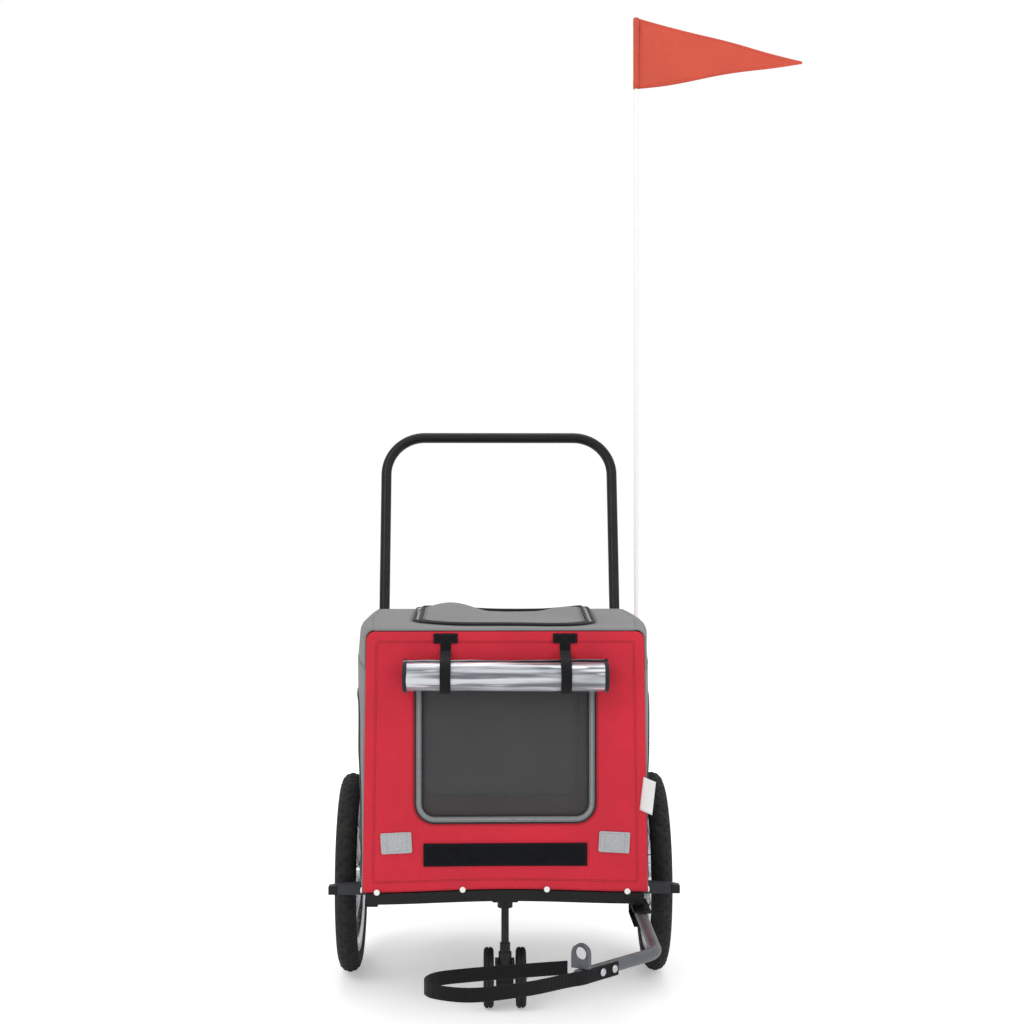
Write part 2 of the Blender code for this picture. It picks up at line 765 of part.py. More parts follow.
def caster():
    """Swivelling fork with a hub housing between twin wheels."""
    swivel = joint_empty("caster_swivel_joint", (0, CASTER_STEM_Y, 0.15))
    profile = [
        (0.0095, 0.0660),
        (0.0095, 0.0865),
        (0.0075, 0.0865),
        (0.0075, 0.0995),
        (0.0055, 0.0995),
        (0.0055, 0.1762),
    ]
    fork = add("caster_fork", spindle((0, CASTER_STEM_Y, 0), Z_AXIS, profile), "plastic_black", swivel)
    crown = box((-0.0140, -0.2470, 0.0610), (0.0140, -0.1960, 0.0680))
    housing = box((-0.0125, -0.2220, 0.0320), (0.0125, -0.1980, 0.0640))
    combine(fork, [crown, housing], "UNION")
    bore = spindle((-0.03, CASTER_AXLE_Y, CASTER_RADIUS), X_AXIS, [(0.0033, 0), (0.0033, 0.06)])
    combine(fork, [bore], "DIFFERENCE")
    axle = [(0.0024, 0), (0.0030, 0.0008), (0.0030, 0.0642), (0.0024, 0.0650)]
    body = spindle((-0.0325, CASTER_AXLE_Y, CASTER_RADIUS), X_AXIS, axle, 12)
    add("caster_axle", body, "bare_steel", swivel)
    half = CASTER_WIDTH / 2
    tread = [
        (0.0033, -half),
        (0.0340, -half),
        (0.0400, -0.0066),
        (CASTER_RADIUS, -0.0032),
        (CASTER_RADIUS, 0.0032),
        (0.0400, 0.0066),
        (0.0340, half),
        (0.0033, half),
    ]
    for name, side in SIDES.items():
        centre = (side * CASTER_X, CASTER_AXLE_Y, CASTER_RADIUS)
        joint = joint_empty("caster_wheel_joint_" + name, centre, swivel)
        add("caster_wheel_" + name, turned_ring(centre, X_AXIS, tread, 28), "tyre_black", joint)


# Push handle.


def handle():
    """U-shaped push handle that leans back and folds down behind the cabin, with a knob at each foot."""
    pivot_y, pivot_z = HANDLE_PIVOT
    joint = joint_empty("handle_joint", (0, pivot_y, pivot_z))
    lean = Vector((0, math.sin(HANDLE_LEAN), math.cos(HANDLE_LEAN)))
    pivot = Vector((0, pivot_y, pivot_z))
    foot = pivot - lean * 0.014
    top = pivot + lean * ((HANDLE_TOP_Z - pivot_z) / lean.z)
    wide = X_AXIS * HANDLE_X
    corners = [foot - wide, top - wide, top + wide, foot + wide]
    part = add("handle_bar", tube(filleted(corners, HANDLE_BEND, 8), HANDLE_RADIUS, 14), "frame_black", joint)
    hole = spindle((-0.24, pivot_y, pivot_z), X_AXIS, [(BOLT_HOLE, 0), (BOLT_HOLE, 0.48)])
    combine(part, [hole], "DIFFERENCE")
    for name, side in SIDES.items():
        turner = joint_empty("handle_knob_joint_" + name, (side * 0.218, pivot_y, pivot_z))
        rings = [
            lobed_ring(side * 0.1905, BOLT_RADIUS),
            lobed_ring(side * 0.2180, BOLT_RADIUS),
            lobed_ring(side * 0.2180, 0.0090, 0.0010),
            lobed_ring(side * 0.2195, 0.0105, 0.0015),
            lobed_ring(side * 0.2265, 0.0105, 0.0015),
            lobed_ring(side * 0.2285, 0.0085, 0.0010),
        ]
        add("handle_knob_" + name, loft(rings), "plastic_black", turner)


def lobed_ring(x, radius, lobe=0.0):
    """A ring about the handle's pivot, round or with five finger lobes."""
    pivot_y, pivot_z = HANDLE_PIVOT
    points = []
    for i in range(20):
        turn = 2 * math.pi * i / 20
        reach = radius + lobe * math.cos(5 * turn)
        points.append((x, pivot_y + reach * math.cos(turn), pivot_z + reach * math.sin(turn)))
    return points


# Flag.


def flag():
    """Safety flag on a springy pole that lifts out of its holder."""
    foot = 0.2183
    joint = joint_empty("flag_pole_joint", (POLE_X, POLE_Y, foot))
    length = POLE_TOP - foot
    profile = [(0.0030, 0), (POLE_RADIUS, 0.001), (POLE_RADIUS, length - 0.003), (0.0022, length)]
    add("flag_pole", spindle((POLE_X, POLE_Y, foot), Z_AXIS, profile, 12), "pole_white", joint)
    near = POLE_X + POLE_RADIUS + GAP
    steps = 8
    rings = []
    for i in range(steps + 1):
        share = i / steps
        x = near + FLAG_LENGTH * share
        top = mix(1.5700, 1.4990, share) - 0.012 * math.sin(math.pi * share)
        bottom = mix(1.4470, 1.4930, share) - 0.006 * math.sin(math.pi * share)
        corners = ((bottom, -0.0006), (bottom, 0.0006), (top, 0.0006), (top, -0.0006))
        rings.append([(x, POLE_Y + dy, z) for z, dy in corners])
    add("flag", loft(rings), "flag_orange", joint)


# Tow bar.


def tow_bar():
    """Bent steel tow bar with its hitch eye and safety strap, pivoting under the left rail."""
    joint = joint_empty("tow_bar_joint", (*TOW_PIVOT, TOW_Z))
    corners = [(TOW_PIVOT[0], TOW_PIVOT[1] + 0.016, TOW_Z), (*TOW_BEND, TOW_Z), (*TOW_END, TOW_Z)]
    bar = add("tow_bar", tube(filleted(corners, 0.05), TOW_RADIUS), "tube_grey", joint)
    combine(bar, [tow_pivot_hole()], "DIFFERENCE")

    end = Vector((*TOW_END, TOW_Z))
    run = (end - Vector((*TOW_BEND, TOW_Z))).normalized()
    outward = Vector((-run.y, run.x, 0))
    if outward.y > 0:
        outward = -outward
    offset = TOW_RADIUS + 0.0013
    strap_half = 0.0088
    strap_end = Vector((end.x, end.y, 0.1458)) + outward * offset
    start = strap_end - run * 0.064
    shape = [
        (0.0703, -0.6020),
        (0.0200, -0.6370),
        (-0.0450, -0.6620),
        (-0.0920, -0.6450),
        (-0.1020, -0.6170),
        (-0.0870, -0.5910),
        (-0.0450, -0.5740),
        (0.0050, -0.5600),
        (0.0727, -0.5430),
    ]
    loop = [Vector((x, y, strap_end.z)) for x, y in shape]
    path = [start] + smooth_path([strap_end - run * 0.020, strap_end] + loop, 4)
    strap = add("safety_strap", band(path, 0.002, Z_AXIS, [strap_half] * len(path)), "webbing_black", joint)
    for number, back in enumerate((0.034, 0.056), 1):
        place = end - run * back
        hole = [(0.0028, -0.02), (0.0028, 0.02)]
        for part in (bar, strap):
            combine(part, [spindle(place, outward, hole)], "DIFFERENCE")
        face = offset + 0.0010 + GAP
        head = [(0.0050, face), (0.0050, face + 0.0012), (0.0034, face + 0.0024)]
        bolt = [(0.0025, -0.0095), (0.0025, face)] + head
        add(f"strap_bolt_{number}", spindle(place, outward, bolt, 12), "bare_steel", joint)

    eye_turn = math.radians(30)
    normal = Vector((-math.sin(eye_turn), -math.cos(eye_turn), 0))
    wide = Vector((-normal.y, normal.x, 0))
    middle = end - run * 0.006
    hole_z = 0.0265
    half = 0.01225
    outline = [(-half, 0.0084), (half, 0.0084)]
    for i in range(9):
        turn = math.pi * i / 8
        outline.append((half * math.cos(turn), hole_z + half * math.sin(turn)))
    depths = (-0.0035, 0.0035)
    rings = [[middle + normal * d + wide * u + Z_AXIS * v for u, v in outline] for d in depths]
    eye = add("hitch_eye", loft(rings), "tube_grey", joint)
    hole = spindle(middle + Z_AXIS * hole_z, normal, [(0.0082, -0.01), (0.0082, 0.01)], 20)
    combine(eye, [hole], "DIFFERENCE")


def lower_to_origin():
    """Brings the floor mat's top face to height zero. Pieces on a joint follow the joint's empty."""
    for found in bpy.data.objects:
        if found.parent is None:
            found.location.z -= MAT_TOP


def build():
    clear_scene()
    base_frame()
    floor()
    wheel_guards()
    handle_brackets()
    flag_holder()
    tow_bracket()
    caster_socket()
    hoop_bolts()
    side_panels()
    roof()
    walls = {"front": front_wall, "rear": rear_wall}
    for place, wall in walls.items():
        joint = joint_empty(place + "_hoop_joint", (0, HOOP_PIVOT_Y[place], HOOP_PIVOT_Z))
        hoop(place, joint)
        wall(joint)
    wheels()
    axles()
    caster()
    handle()
    flag()
    tow_bar()
    lower_to_origin()


build()
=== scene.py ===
"""The looks of a bicycle trailer with a cloth cabin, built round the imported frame.

Metres, +Z up. The front faces -Y, and +X is the trailer's own left side. The origin is on the cabin's floor.
"""

import json
import math

import bpy
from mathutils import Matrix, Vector, noise


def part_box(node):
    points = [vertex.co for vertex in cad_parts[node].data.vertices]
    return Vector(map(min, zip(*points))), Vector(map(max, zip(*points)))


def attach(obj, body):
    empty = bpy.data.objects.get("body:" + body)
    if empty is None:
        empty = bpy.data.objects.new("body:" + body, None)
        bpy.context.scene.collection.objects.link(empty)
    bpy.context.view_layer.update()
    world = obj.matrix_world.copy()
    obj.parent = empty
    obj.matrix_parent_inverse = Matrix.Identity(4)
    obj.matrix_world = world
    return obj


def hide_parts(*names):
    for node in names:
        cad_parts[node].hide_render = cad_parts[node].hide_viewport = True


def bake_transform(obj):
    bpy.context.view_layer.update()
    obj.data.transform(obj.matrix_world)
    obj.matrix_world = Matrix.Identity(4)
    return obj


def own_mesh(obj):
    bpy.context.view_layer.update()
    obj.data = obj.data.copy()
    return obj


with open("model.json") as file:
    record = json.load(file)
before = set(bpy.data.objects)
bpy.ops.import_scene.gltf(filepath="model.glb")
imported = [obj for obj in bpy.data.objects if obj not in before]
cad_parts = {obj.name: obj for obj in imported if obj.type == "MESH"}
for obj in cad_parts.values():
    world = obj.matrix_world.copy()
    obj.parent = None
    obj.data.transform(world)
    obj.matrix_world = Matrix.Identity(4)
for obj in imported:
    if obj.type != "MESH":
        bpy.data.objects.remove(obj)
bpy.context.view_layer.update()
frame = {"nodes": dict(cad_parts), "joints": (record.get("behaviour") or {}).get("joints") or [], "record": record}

X_AXIS = Vector((1, 0, 0))
Y_AXIS = Vector((0, 1, 0))
Z_AXIS = Vector((0, 0, 1))
SIDES = {"left": 1, "right": -1}
JOINTS = {joint["name"]: Vector(joint.get("pos_m", (0, 0, 0))) for joint in frame["joints"]}

# The ground, from the wheel's axle.
WHEEL_RADIUS = 0.1525
GROUND = JOINTS["wheel_left_spin"].z - WHEEL_RADIUS

# The cabin's shape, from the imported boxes.
FRONT_LOW, FRONT_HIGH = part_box("front_panel")
REAR_LOW, REAR_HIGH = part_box("rear_panel")
SIDE_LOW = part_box("side_panel_left")[0]
ROOF_LOW, ROOF_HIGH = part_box("roof_cover")
FRONT_FACE = FRONT_LOW.y
REAR_FACE = REAR_HIGH.y
CABIN_TOP = ROOF_HIGH.z
CABIN_BOTTOM = SIDE_LOW.z
REAR_HEM = Vector((REAR_LOW.x, REAR_LOW.y, CABIN_BOTTOM))
YOKE_EDGE = CABIN_TOP - 0.058
BINDING_TOP = CABIN_TOP - 0.108
TOP_CORNER = 0.012
MIDDLE_CORNER = 0.020
ROOF_CROWN = 0.006
LEAN = {"front": 0.0050, "rear": 0.0}

# Half widths of the side cloth. It widens over the wheels from one height over the ground, within a rise.
SIDE_HALF = {"beside_wheels": 0.2150, "over_wheels": 0.2220, "yoke": 0.2205, "under_roof": 0.2165}
WIDEN_FROM = 0.300
WIDEN_RISE = 0.070

FRONT_ARCH = 0.0045
CLOTH = 0.0012

# Humps of the loose roof cloth: height, place across and along, and reach across and along.
ROOF_HUMPS = (
    (0.0180, -0.080, -0.010, 0.050, 0.080),
    (0.0120, 0.105, 0.010, 0.048, 0.075),
)

# Stitching.
STITCH_PITCH = 0.0042
STITCH_LENGTH = 0.0028
HEM = 0.0135
DOUBLE_HEM = (HEM, HEM + 0.0022)

# Zip teeth.
TOOTH_SIZE = (0.0011, 0.0034)
TOOTH_PITCH = 0.0016
TOOTH_SHIFT = 0.0006

# Camera, fitted to the photograph.
CAMERA_PLACE = (-0.0387, -2.657, GROUND + 0.7127)
CAMERA_YAW = math.radians(-1.15)
CAMERA_LENS = 59.77

# Light that the floor gives off and the sky sends, besides the lamps.
FLOOR_GLOW = 0.34
SKY_LIGHT = 0.78


# Numbers and paths.


def mix(a, b, share):
    return a + (b - a) * share


def clamp(value, low=0.0, high=1.0):
    return min(max(value, low), high)


def ease(share):
    share = clamp(share)
    return share * share * (3 - 2 * share)


def spread(low, high, count):
    """count + 1 values at equal steps from low to high."""
    return [mix(low, high, i / count) for i in range(count + 1)]


def hill(distance, width):
    """A smooth bump of height 1 around zero."""
    return math.exp(-((distance / width) ** 2))


def ripple(*place):
    """Smooth noise from about -1 to 1, the same each run."""
    return 2 * noise.noise(Vector(place))


def resample(path, spacing, closed=False):
    """Points at equal steps along a polyline of 2-D or 3-D points."""
    points = [Vector(p) for p in path]
    if closed:
        points.append(points[0])
    lengths = [(b - a).length for a, b in zip(points, points[1:])]
    total = sum(lengths)
    count = max(2, round(total / spacing))
    made = []
    segment = 0
    passed = 0.0
    for i in range(count if closed else count + 1):
        target = total * i / count
        while segment < len(lengths) - 1 and passed + lengths[segment] < target:
            passed += lengths[segment]
            segment += 1
        share = (target - passed) / max(lengths[segment], 1e-9)
        made.append(points[segment].lerp(points[segment + 1], clamp(share)))
    return made


def directions(path, closed=False):
    """The way a polyline runs at each of its points."""
    last = len(path) - 1
    ways = []
    for i in range(len(path)):
        before = path[i - 1] if closed else path[max(i - 1, 0)]
        after = path[(i + 1) % len(path)] if closed else path[min(i + 1, last)]
        ways.append((after - before).normalized())
    return ways


def filleted(points, radius, steps=10):
    """A polyline whose inner corners are arcs of this radius."""
    points = [Vector(p) for p in points]
    path = [points[0]]
    for before, corner, after in zip(points, points[1:], points[2:]):
        come = (before - corner).normalized()
        leave = (after - corner).normalized()
        half = come.angle(leave) / 2
        setback = radius / math.tan(half)
        centre = corner + (come + leave).normalized() * radius / math.sin(half)
        start = corner + come * setback - centre
        end = corner + leave * setback - centre
        turn = start.angle(end)
        for i in range(steps + 1):
            share = i / steps
            arm = (math.sin((1 - share) * turn) * start + math.sin(share * turn) * end) / math.sin(turn)
            path.append(centre + arm)
    path.append(points[-1])
    return path


def smooth_path(points, steps=8):
    """A smooth curve through a few points (Catmull-Rom)."""
    points = [Vector(p) for p in points]
    ends = [2 * points[0] - points[1]] + points + [2 * points[-1] - points[-2]]
    path = [points[0]]
    for a, b, c, d in zip(ends, ends[1:], ends[2:], ends[3:]):
        linear = c - a
        square = 2 * a - 5 * b + 4 * c - d
        cubic = 3 * b - a - 3 * c + d
        for i in range(1, steps + 1):
            t = i / steps
            path.append(b + 0.5 * (linear * t + square * t**2 + cubic * t**3))
    return path


def rounded_loop(halves, low, high, radii, side, corner=8):
    """A closed four-sided loop with rounded corners. halves and radii are for its bottom and its top."""
    arcs = []
    for start, way, upper in ((-90, 1, 0), (0, 1, 1), (90, -1, 1), (180, -1, 0)):
        radius = radii[upper]
        centre = Vector((way * (halves[upper] - radius), (high - radius) if upper else (low + radius)))
        turns = spread(math.radians(start), math.radians(start + 90), corner)
        arcs.append([centre + radius * Vector((math.cos(t), math.sin(t))) for t in turns])
    loop = []
    for arc, following in zip(arcs, arcs[1:] + arcs[:1]):
        loop += arc
        loop += [arc[-1].lerp(following[0], (i + 1) / side) for i in range(side - 1)]
    return loop


def radial(turn):
    """The way out from a crosswise axle at this angle."""
    return Vector((0, math.cos(turn), math.sin(turn)))


def circle(centre, first, second, radius, sides):
    """Points round a centre, in the plane of two unit vectors."""
    turns = [2 * math.pi * i / sides for i in range(sides)]
    return [centre + radius * (first * math.cos(t) + second * math.sin(t)) for t in turns]


def mirrored(half, middle=()):
    """A turned section of (radius, distance along the axle) pairs from its one half."""
    return [*half, *middle, *((radius, -along) for radius, along in reversed(half))]


def bead(offset, radius, sides=8):
    """The section of a cord lying on a surface, for a sweep."""
    turns = [2 * math.pi * i / sides for i in range(sides)]
    return [(offset + radius * math.cos(t), radius + radius * math.sin(t)) for t in turns]


def tape(offset, half, thickness, lift=0.0):
    """The section of a flat band with softened edges, for a sweep."""
    soft = min(thickness * 0.6, half * 0.3)
    top = lift + thickness
    return [
        (offset - half, lift),
        (offset - half, lift + thickness * 0.5),
        (offset - half + soft, top),
        (offset, top),
        (offset + half - soft, top),
        (offset + half, lift + thickness * 0.5),
        (offset + half, lift),
    ]


# Surfaces of the cabin. Each turns a place on the cloth and a height over it into a point.


def cloth_half(y, z):
    """Half width of the cabin's outer cloth at this depth and height. It swells behind the front wall."""
    along = clamp((y - FRONT_FACE) / (REAR_FACE - FRONT_FACE))
    up = clamp((z - CABIN_BOTTOM) / (CABIN_TOP - CABIN_BOTTOM))
    front = FRONT_HIGH.x - LEAN["front"] * up
    over_wheel = ease((z - GROUND - WIDEN_FROM) / WIDEN_RISE)
    middle = mix(SIDE_HALF["beside_wheels"], SIDE_HALF["over_wheels"], over_wheel)
    middle = mix(middle, SIDE_HALF["yoke"], ease((z - YOKE_EDGE + 0.006) / 0.010))
    middle = mix(middle, SIDE_HALF["under_roof"], clamp((z - YOKE_EDGE - 0.004) / 0.045))
    behind = mix(middle, REAR_HIGH.x, ease((along - 0.75) / 0.25))
    return mix(front, behind, math.sin(math.pi / 2 * clamp(along / 0.45)))


def swell(y):
    """Goes from 0 at the front and rear walls to 1 midway between them."""
    along = clamp((y - FRONT_FACE) / (REAR_FACE - FRONT_FACE))
    return 1 - (2 * along - 1) ** 2


def crown(y):
    """How far the roof stands over its front and rear edges."""
    return ROOF_CROWN * swell(y)


def top_corner(y):
    """Radius of the rounded edge between side and roof."""
    return mix(TOP_CORNER, MIDDLE_CORNER, swell(y))


def roof_half(y):
    return cloth_half(y, CABIN_TOP - TOP_CORNER) - top_corner(y)


def arch(x, z):
    """How far the wall's lower edge rises over the arched front tube, fading out above it."""
    rise = FRONT_ARCH * math.cos(math.pi / 2 * clamp(abs(x) / FRONT_HIGH.x)) ** 2
    return rise * (1 - ease((z - FRONT_LOW.z) / 0.05))


def wall_relief(x, z, low, high, seed):
    """Hems, puckers and slack of a front or rear wall, as height over its flat face."""
    up = clamp((z - low.z) / (high.z - low.z))
    half = high.x - 0.0045 * up
    edge = min(half - abs(x), high.z - z, z - low.z)
    hem = 0.0004 * (1 - ease((edge - HEM + 0.001) / 0.003))
    pucker = 0.00020 * math.sin(2 * math.pi * (x + z) / 0.0125) * hill(edge - HEM, 0.0045)
    slack = 0.0011 * ripple(6 * x + seed, 5 * z, seed) * ease(edge / 0.06)
    folds = math.sin(160 * (abs(x) - 0.55 * z))
    drag = 0.0005 * folds * hill(z - low.z - 0.075, 0.035) * hill(abs(x) - 0.135, 0.03)
    return hem + pucker + slack + drag


def on_front(x, z, height):
    return Vector((x, FRONT_FACE - height - wall_relief(x, z, FRONT_LOW, FRONT_HIGH, 1.7), z + arch(x, z)))


def on_rear(x, z, height):
    return Vector((x, REAR_FACE + height + wall_relief(x, z, REAR_HEM, REAR_HIGH, 8.3), z))


def on_side(side):
    """The surface of one side wall, taking depth and height."""

    def place(y, z, height):
        edge = min(y - FRONT_FACE, REAR_FACE - y)
        yoke = 0.0008 * ease((z - YOKE_EDGE + 0.001) / 0.002)
        pucker = 0.0003 * math.sin(2 * math.pi * y / 0.013) * hill(z - YOKE_EDGE + 0.004, 0.006)
        loose = ease(edge / 0.07) * ease((z - CABIN_BOTTOM) / 0.06)
        slack = 0.0022 * ripple(5 * y, 4 * z, 3.1 * side) * loose
        gather = 0.0007 * math.sin(230 * y + 6 * ripple(9 * y, 2, side)) * hill(z - CABIN_BOTTOM, 0.045)
        relief = yoke + pucker + slack * ease((CABIN_TOP - z) / 0.04) + gather * ease(edge / 0.03)
        shoulder = CABIN_TOP - TOP_CORNER
        radius = top_corner(y)
        raised = CABIN_TOP + crown(y) - radius
        if z <= shoulder:
            share = clamp((z - YOKE_EDGE) / (shoulder - YOKE_EDGE))
            return Vector((side * (cloth_half(y, z) + relief + height), y, z + (raised - shoulder) * share))
        turn = math.pi / 2 * clamp((z - shoulder) / (TOP_CORNER * math.pi / 2))
        reach = radius + relief * (1 - turn * 2 / math.pi) + height
        return Vector((side * (roof_half(y) + reach * math.cos(turn)), y, raised + reach * math.sin(turn)))

    return place


def roof_rise(x, y):
    """The loose roof cloth humps up beside the zipped opening and dips between the humps."""
    humps = sum(h * hill(x - at_x, wide) * hill(y - at_y, long) for h, at_x, at_y, wide, long in ROOF_HUMPS)
    slack = 0.0016 * ripple(7 * x, 7 * y, 5.5)
    edge = min(roof_half(y) - abs(x), y - ROOF_LOW.y, ROOF_HIGH.y - y)
    return (humps + slack) * ease(edge / 0.055)


def on_roof(x, y, height):
    return Vector((x, y, CABIN_TOP + crown(y) + height + roof_rise(x, y)))


# Shapes.


class Shape:
    """Points and faces gathered from several surfaces."""

    def __init__(self):
        self.points = []
        self.faces = []

    def grid(self, rows, loop_rows=False, loop_columns=False):
        """A skin through equal rows of points, in which either direction may close on itself."""
        start = len(self.points)
        width = len(rows[0])
        for row in rows:
            self.points.extend(row)
        for i in range(len(rows) if loop_rows else len(rows) - 1):
            k = (i + 1) % len(rows)
            for j in range(width if loop_columns else width - 1):
                m = (j + 1) % width
                corners = (i * width + j, i * width + m, k * width + m, k * width + j)
                self.faces.append(tuple(start + c for c in corners))
        return self

    def solid(self, rows):
        """A closed body through rings of points, with flat ends."""
        start = len(self.points)
        width = len(rows[0])
        self.grid(rows, loop_columns=True)
        last = start + (len(rows) - 1) * width
        self.faces.append(tuple(start + j for j in reversed(range(width))))
        self.faces.append(tuple(last + j for j in range(width)))
        return self

    def lathe(self, centre, axis, profile, steps):
        """A ring turned about an axis. The profile is (radius, distance along the axis)."""
        first = axis.orthogonal().normalized()
        second = axis.cross(first)
        arms = circle(Vector(), first, second, 1.0, steps)
        rows = [[centre + arm * radius + axis * along for radius, along in profile] for arm in arms]
        return self.grid(rows, loop_rows=True, loop_columns=True)

    def pipe(self, path, radius, sides=24, radii=None):
        """A round bar along a path. radii scales its section from point to point."""
        path = [Vector(p) for p in path]
        ways = directions(path)
        first = ways[0].orthogonal().normalized()
        rings = []
        for i, (point, way) in enumerate(zip(path, ways)):
            first = (first - way * first.dot(way)).normalized()
            second = way.cross(first)
            size = radius * (radii[i] if radii else 1.0)
            rings.append(circle(point, first, second, size, sides))
        return self.solid(rings)

    def sweep(self, path, profile, place, closed=False):
        """A section of (across, height) pairs carried along a path on a surface."""
        ways = directions(path, closed)
        rows = []
        for point, way in zip(path, ways):
            across = Vector((way.y, -way.x))
            rows.append([place(*(point + across * w), h) for w, h in profile])
        if closed:
            return self.grid(rows, loop_rows=True, loop_columns=True)
        return self.solid(rows)

    def stitches(self, path, place, closed=False, radius=0.00042, lift=0.0002):
        """A row of thread stitches along a path on a surface."""
        points = resample(path, STITCH_PITCH, closed)
        for point, way in zip(points, directions(points, closed)):
            across = Vector((way.y, -way.x))
            rings = []
            for share, size in ((-0.5, 0.25), (-0.3, 1.0), (0.3, 1.0), (0.5, 0.25)):
                here = point + way * STITCH_LENGTH * share
                r = radius * size
                corners = ((r, 0), (0, r), (-r, 0), (0, -r))
                rings.append([place(*(here + across * w), lift + h) for w, h in corners])
            self.solid(rings)
        return self

    def block(self, at, size, levels):
        """A small block. at(along, across, height) gives a point, and levels are (height, share of size)."""
        rings = []
        for height, share in levels:
            a, b = size[0] / 2 * share, size[1] / 2 * share
            rings.append([at(u, w, height) for u, w in ((a, b), (-a, b), (-a, -b), (a, -b))])
        return self.solid(rings)

    def teeth(self, path, place):
        """The two meshing rows of a closed zip's teeth along a path on a surface."""
        levels = ((0.0002, 1.0), (0.00098, 1.0), (0.0015, 0.6))
        points = resample(path, TOOTH_PITCH, closed=True)
        for i, (point, way) in enumerate(zip(points, directions(points, closed=True))):
            across = Vector((way.y, -way.x))
            middle = point + across * (TOOTH_SHIFT if i % 2 else -TOOTH_SHIFT)
            self.block(lambda u, w, h: place(*(middle + way * u + across * w), h), TOOTH_SIZE, levels)
        return self

    def ribbon(self, path, width_way, half, thickness):
        """A flat strap along a 3-D path, with rounded edges. width_way is the direction of its width."""
        edge = half - thickness * 0.35
        section = [(half, 0), (edge, 1), (0, 1), (-edge, 1)]
        section += [(-w, -h) for w, h in section]
        rows = []
        for point, way in zip(path, directions(path)):
            face = width_way.cross(way).normalized() * thickness / 2
            rows.append([point + width_way * w + face * h for w, h in section])
        return self.solid(rows)


def filled(edge, rings, place):
    """A skin from the middle of a closed edge out to it. place also takes the share of the way out."""
    centre = sum(edge, Vector((0, 0))) / len(edge)
    rows = [[place(*centre.lerp(p, share), share) for p in edge] for share in spread(0, 1, rings)]
    return Shape().grid(rows, loop_columns=True)


def piece(name, shape, slot, bodies, paint=None, stands_for=(), thickness=0.0, sharp=50, squash=None):
    """Makes one shown piece. bodies names its body, or is a tuple (body, body, start, end) whose contents are not
    used; such a piece is left unattached.
    """
    mesh = bpy.data.meshes.new(name)
    mesh.from_pydata([tuple(p) for p in shape.points], [], shape.faces)
    mesh.materials.append(PAINTS[paint or slot])
    mesh.shade_smooth()
    mesh.set_sharp_from_angle(angle=math.radians(sharp))
    made = bpy.data.objects.new(name, mesh)
    bpy.context.scene.collection.objects.link(made)
    if thickness:
        solidify = made.modifiers.new("thickness", "SOLIDIFY")
        solidify.thickness = thickness
        solidify.offset = 0
    if isinstance(bodies, str):
        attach(made, bodies)
    else:
        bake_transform(made)
    if squash:
        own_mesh(made)
    if stands_for:
        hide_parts(*stands_for)
    return made


# Materials.


def tint(red, green, blue):
    """A linear colour from the usual 0 to 255 display values."""
    return tuple((v / 255) ** 2.2 for v in (red, green, blue)) + (1.0,)


def shade(colour, factor):
    """The colour made darker or lighter."""
    return tuple(min(1.0, factor * c) for c in colour[:3]) + (1.0,)


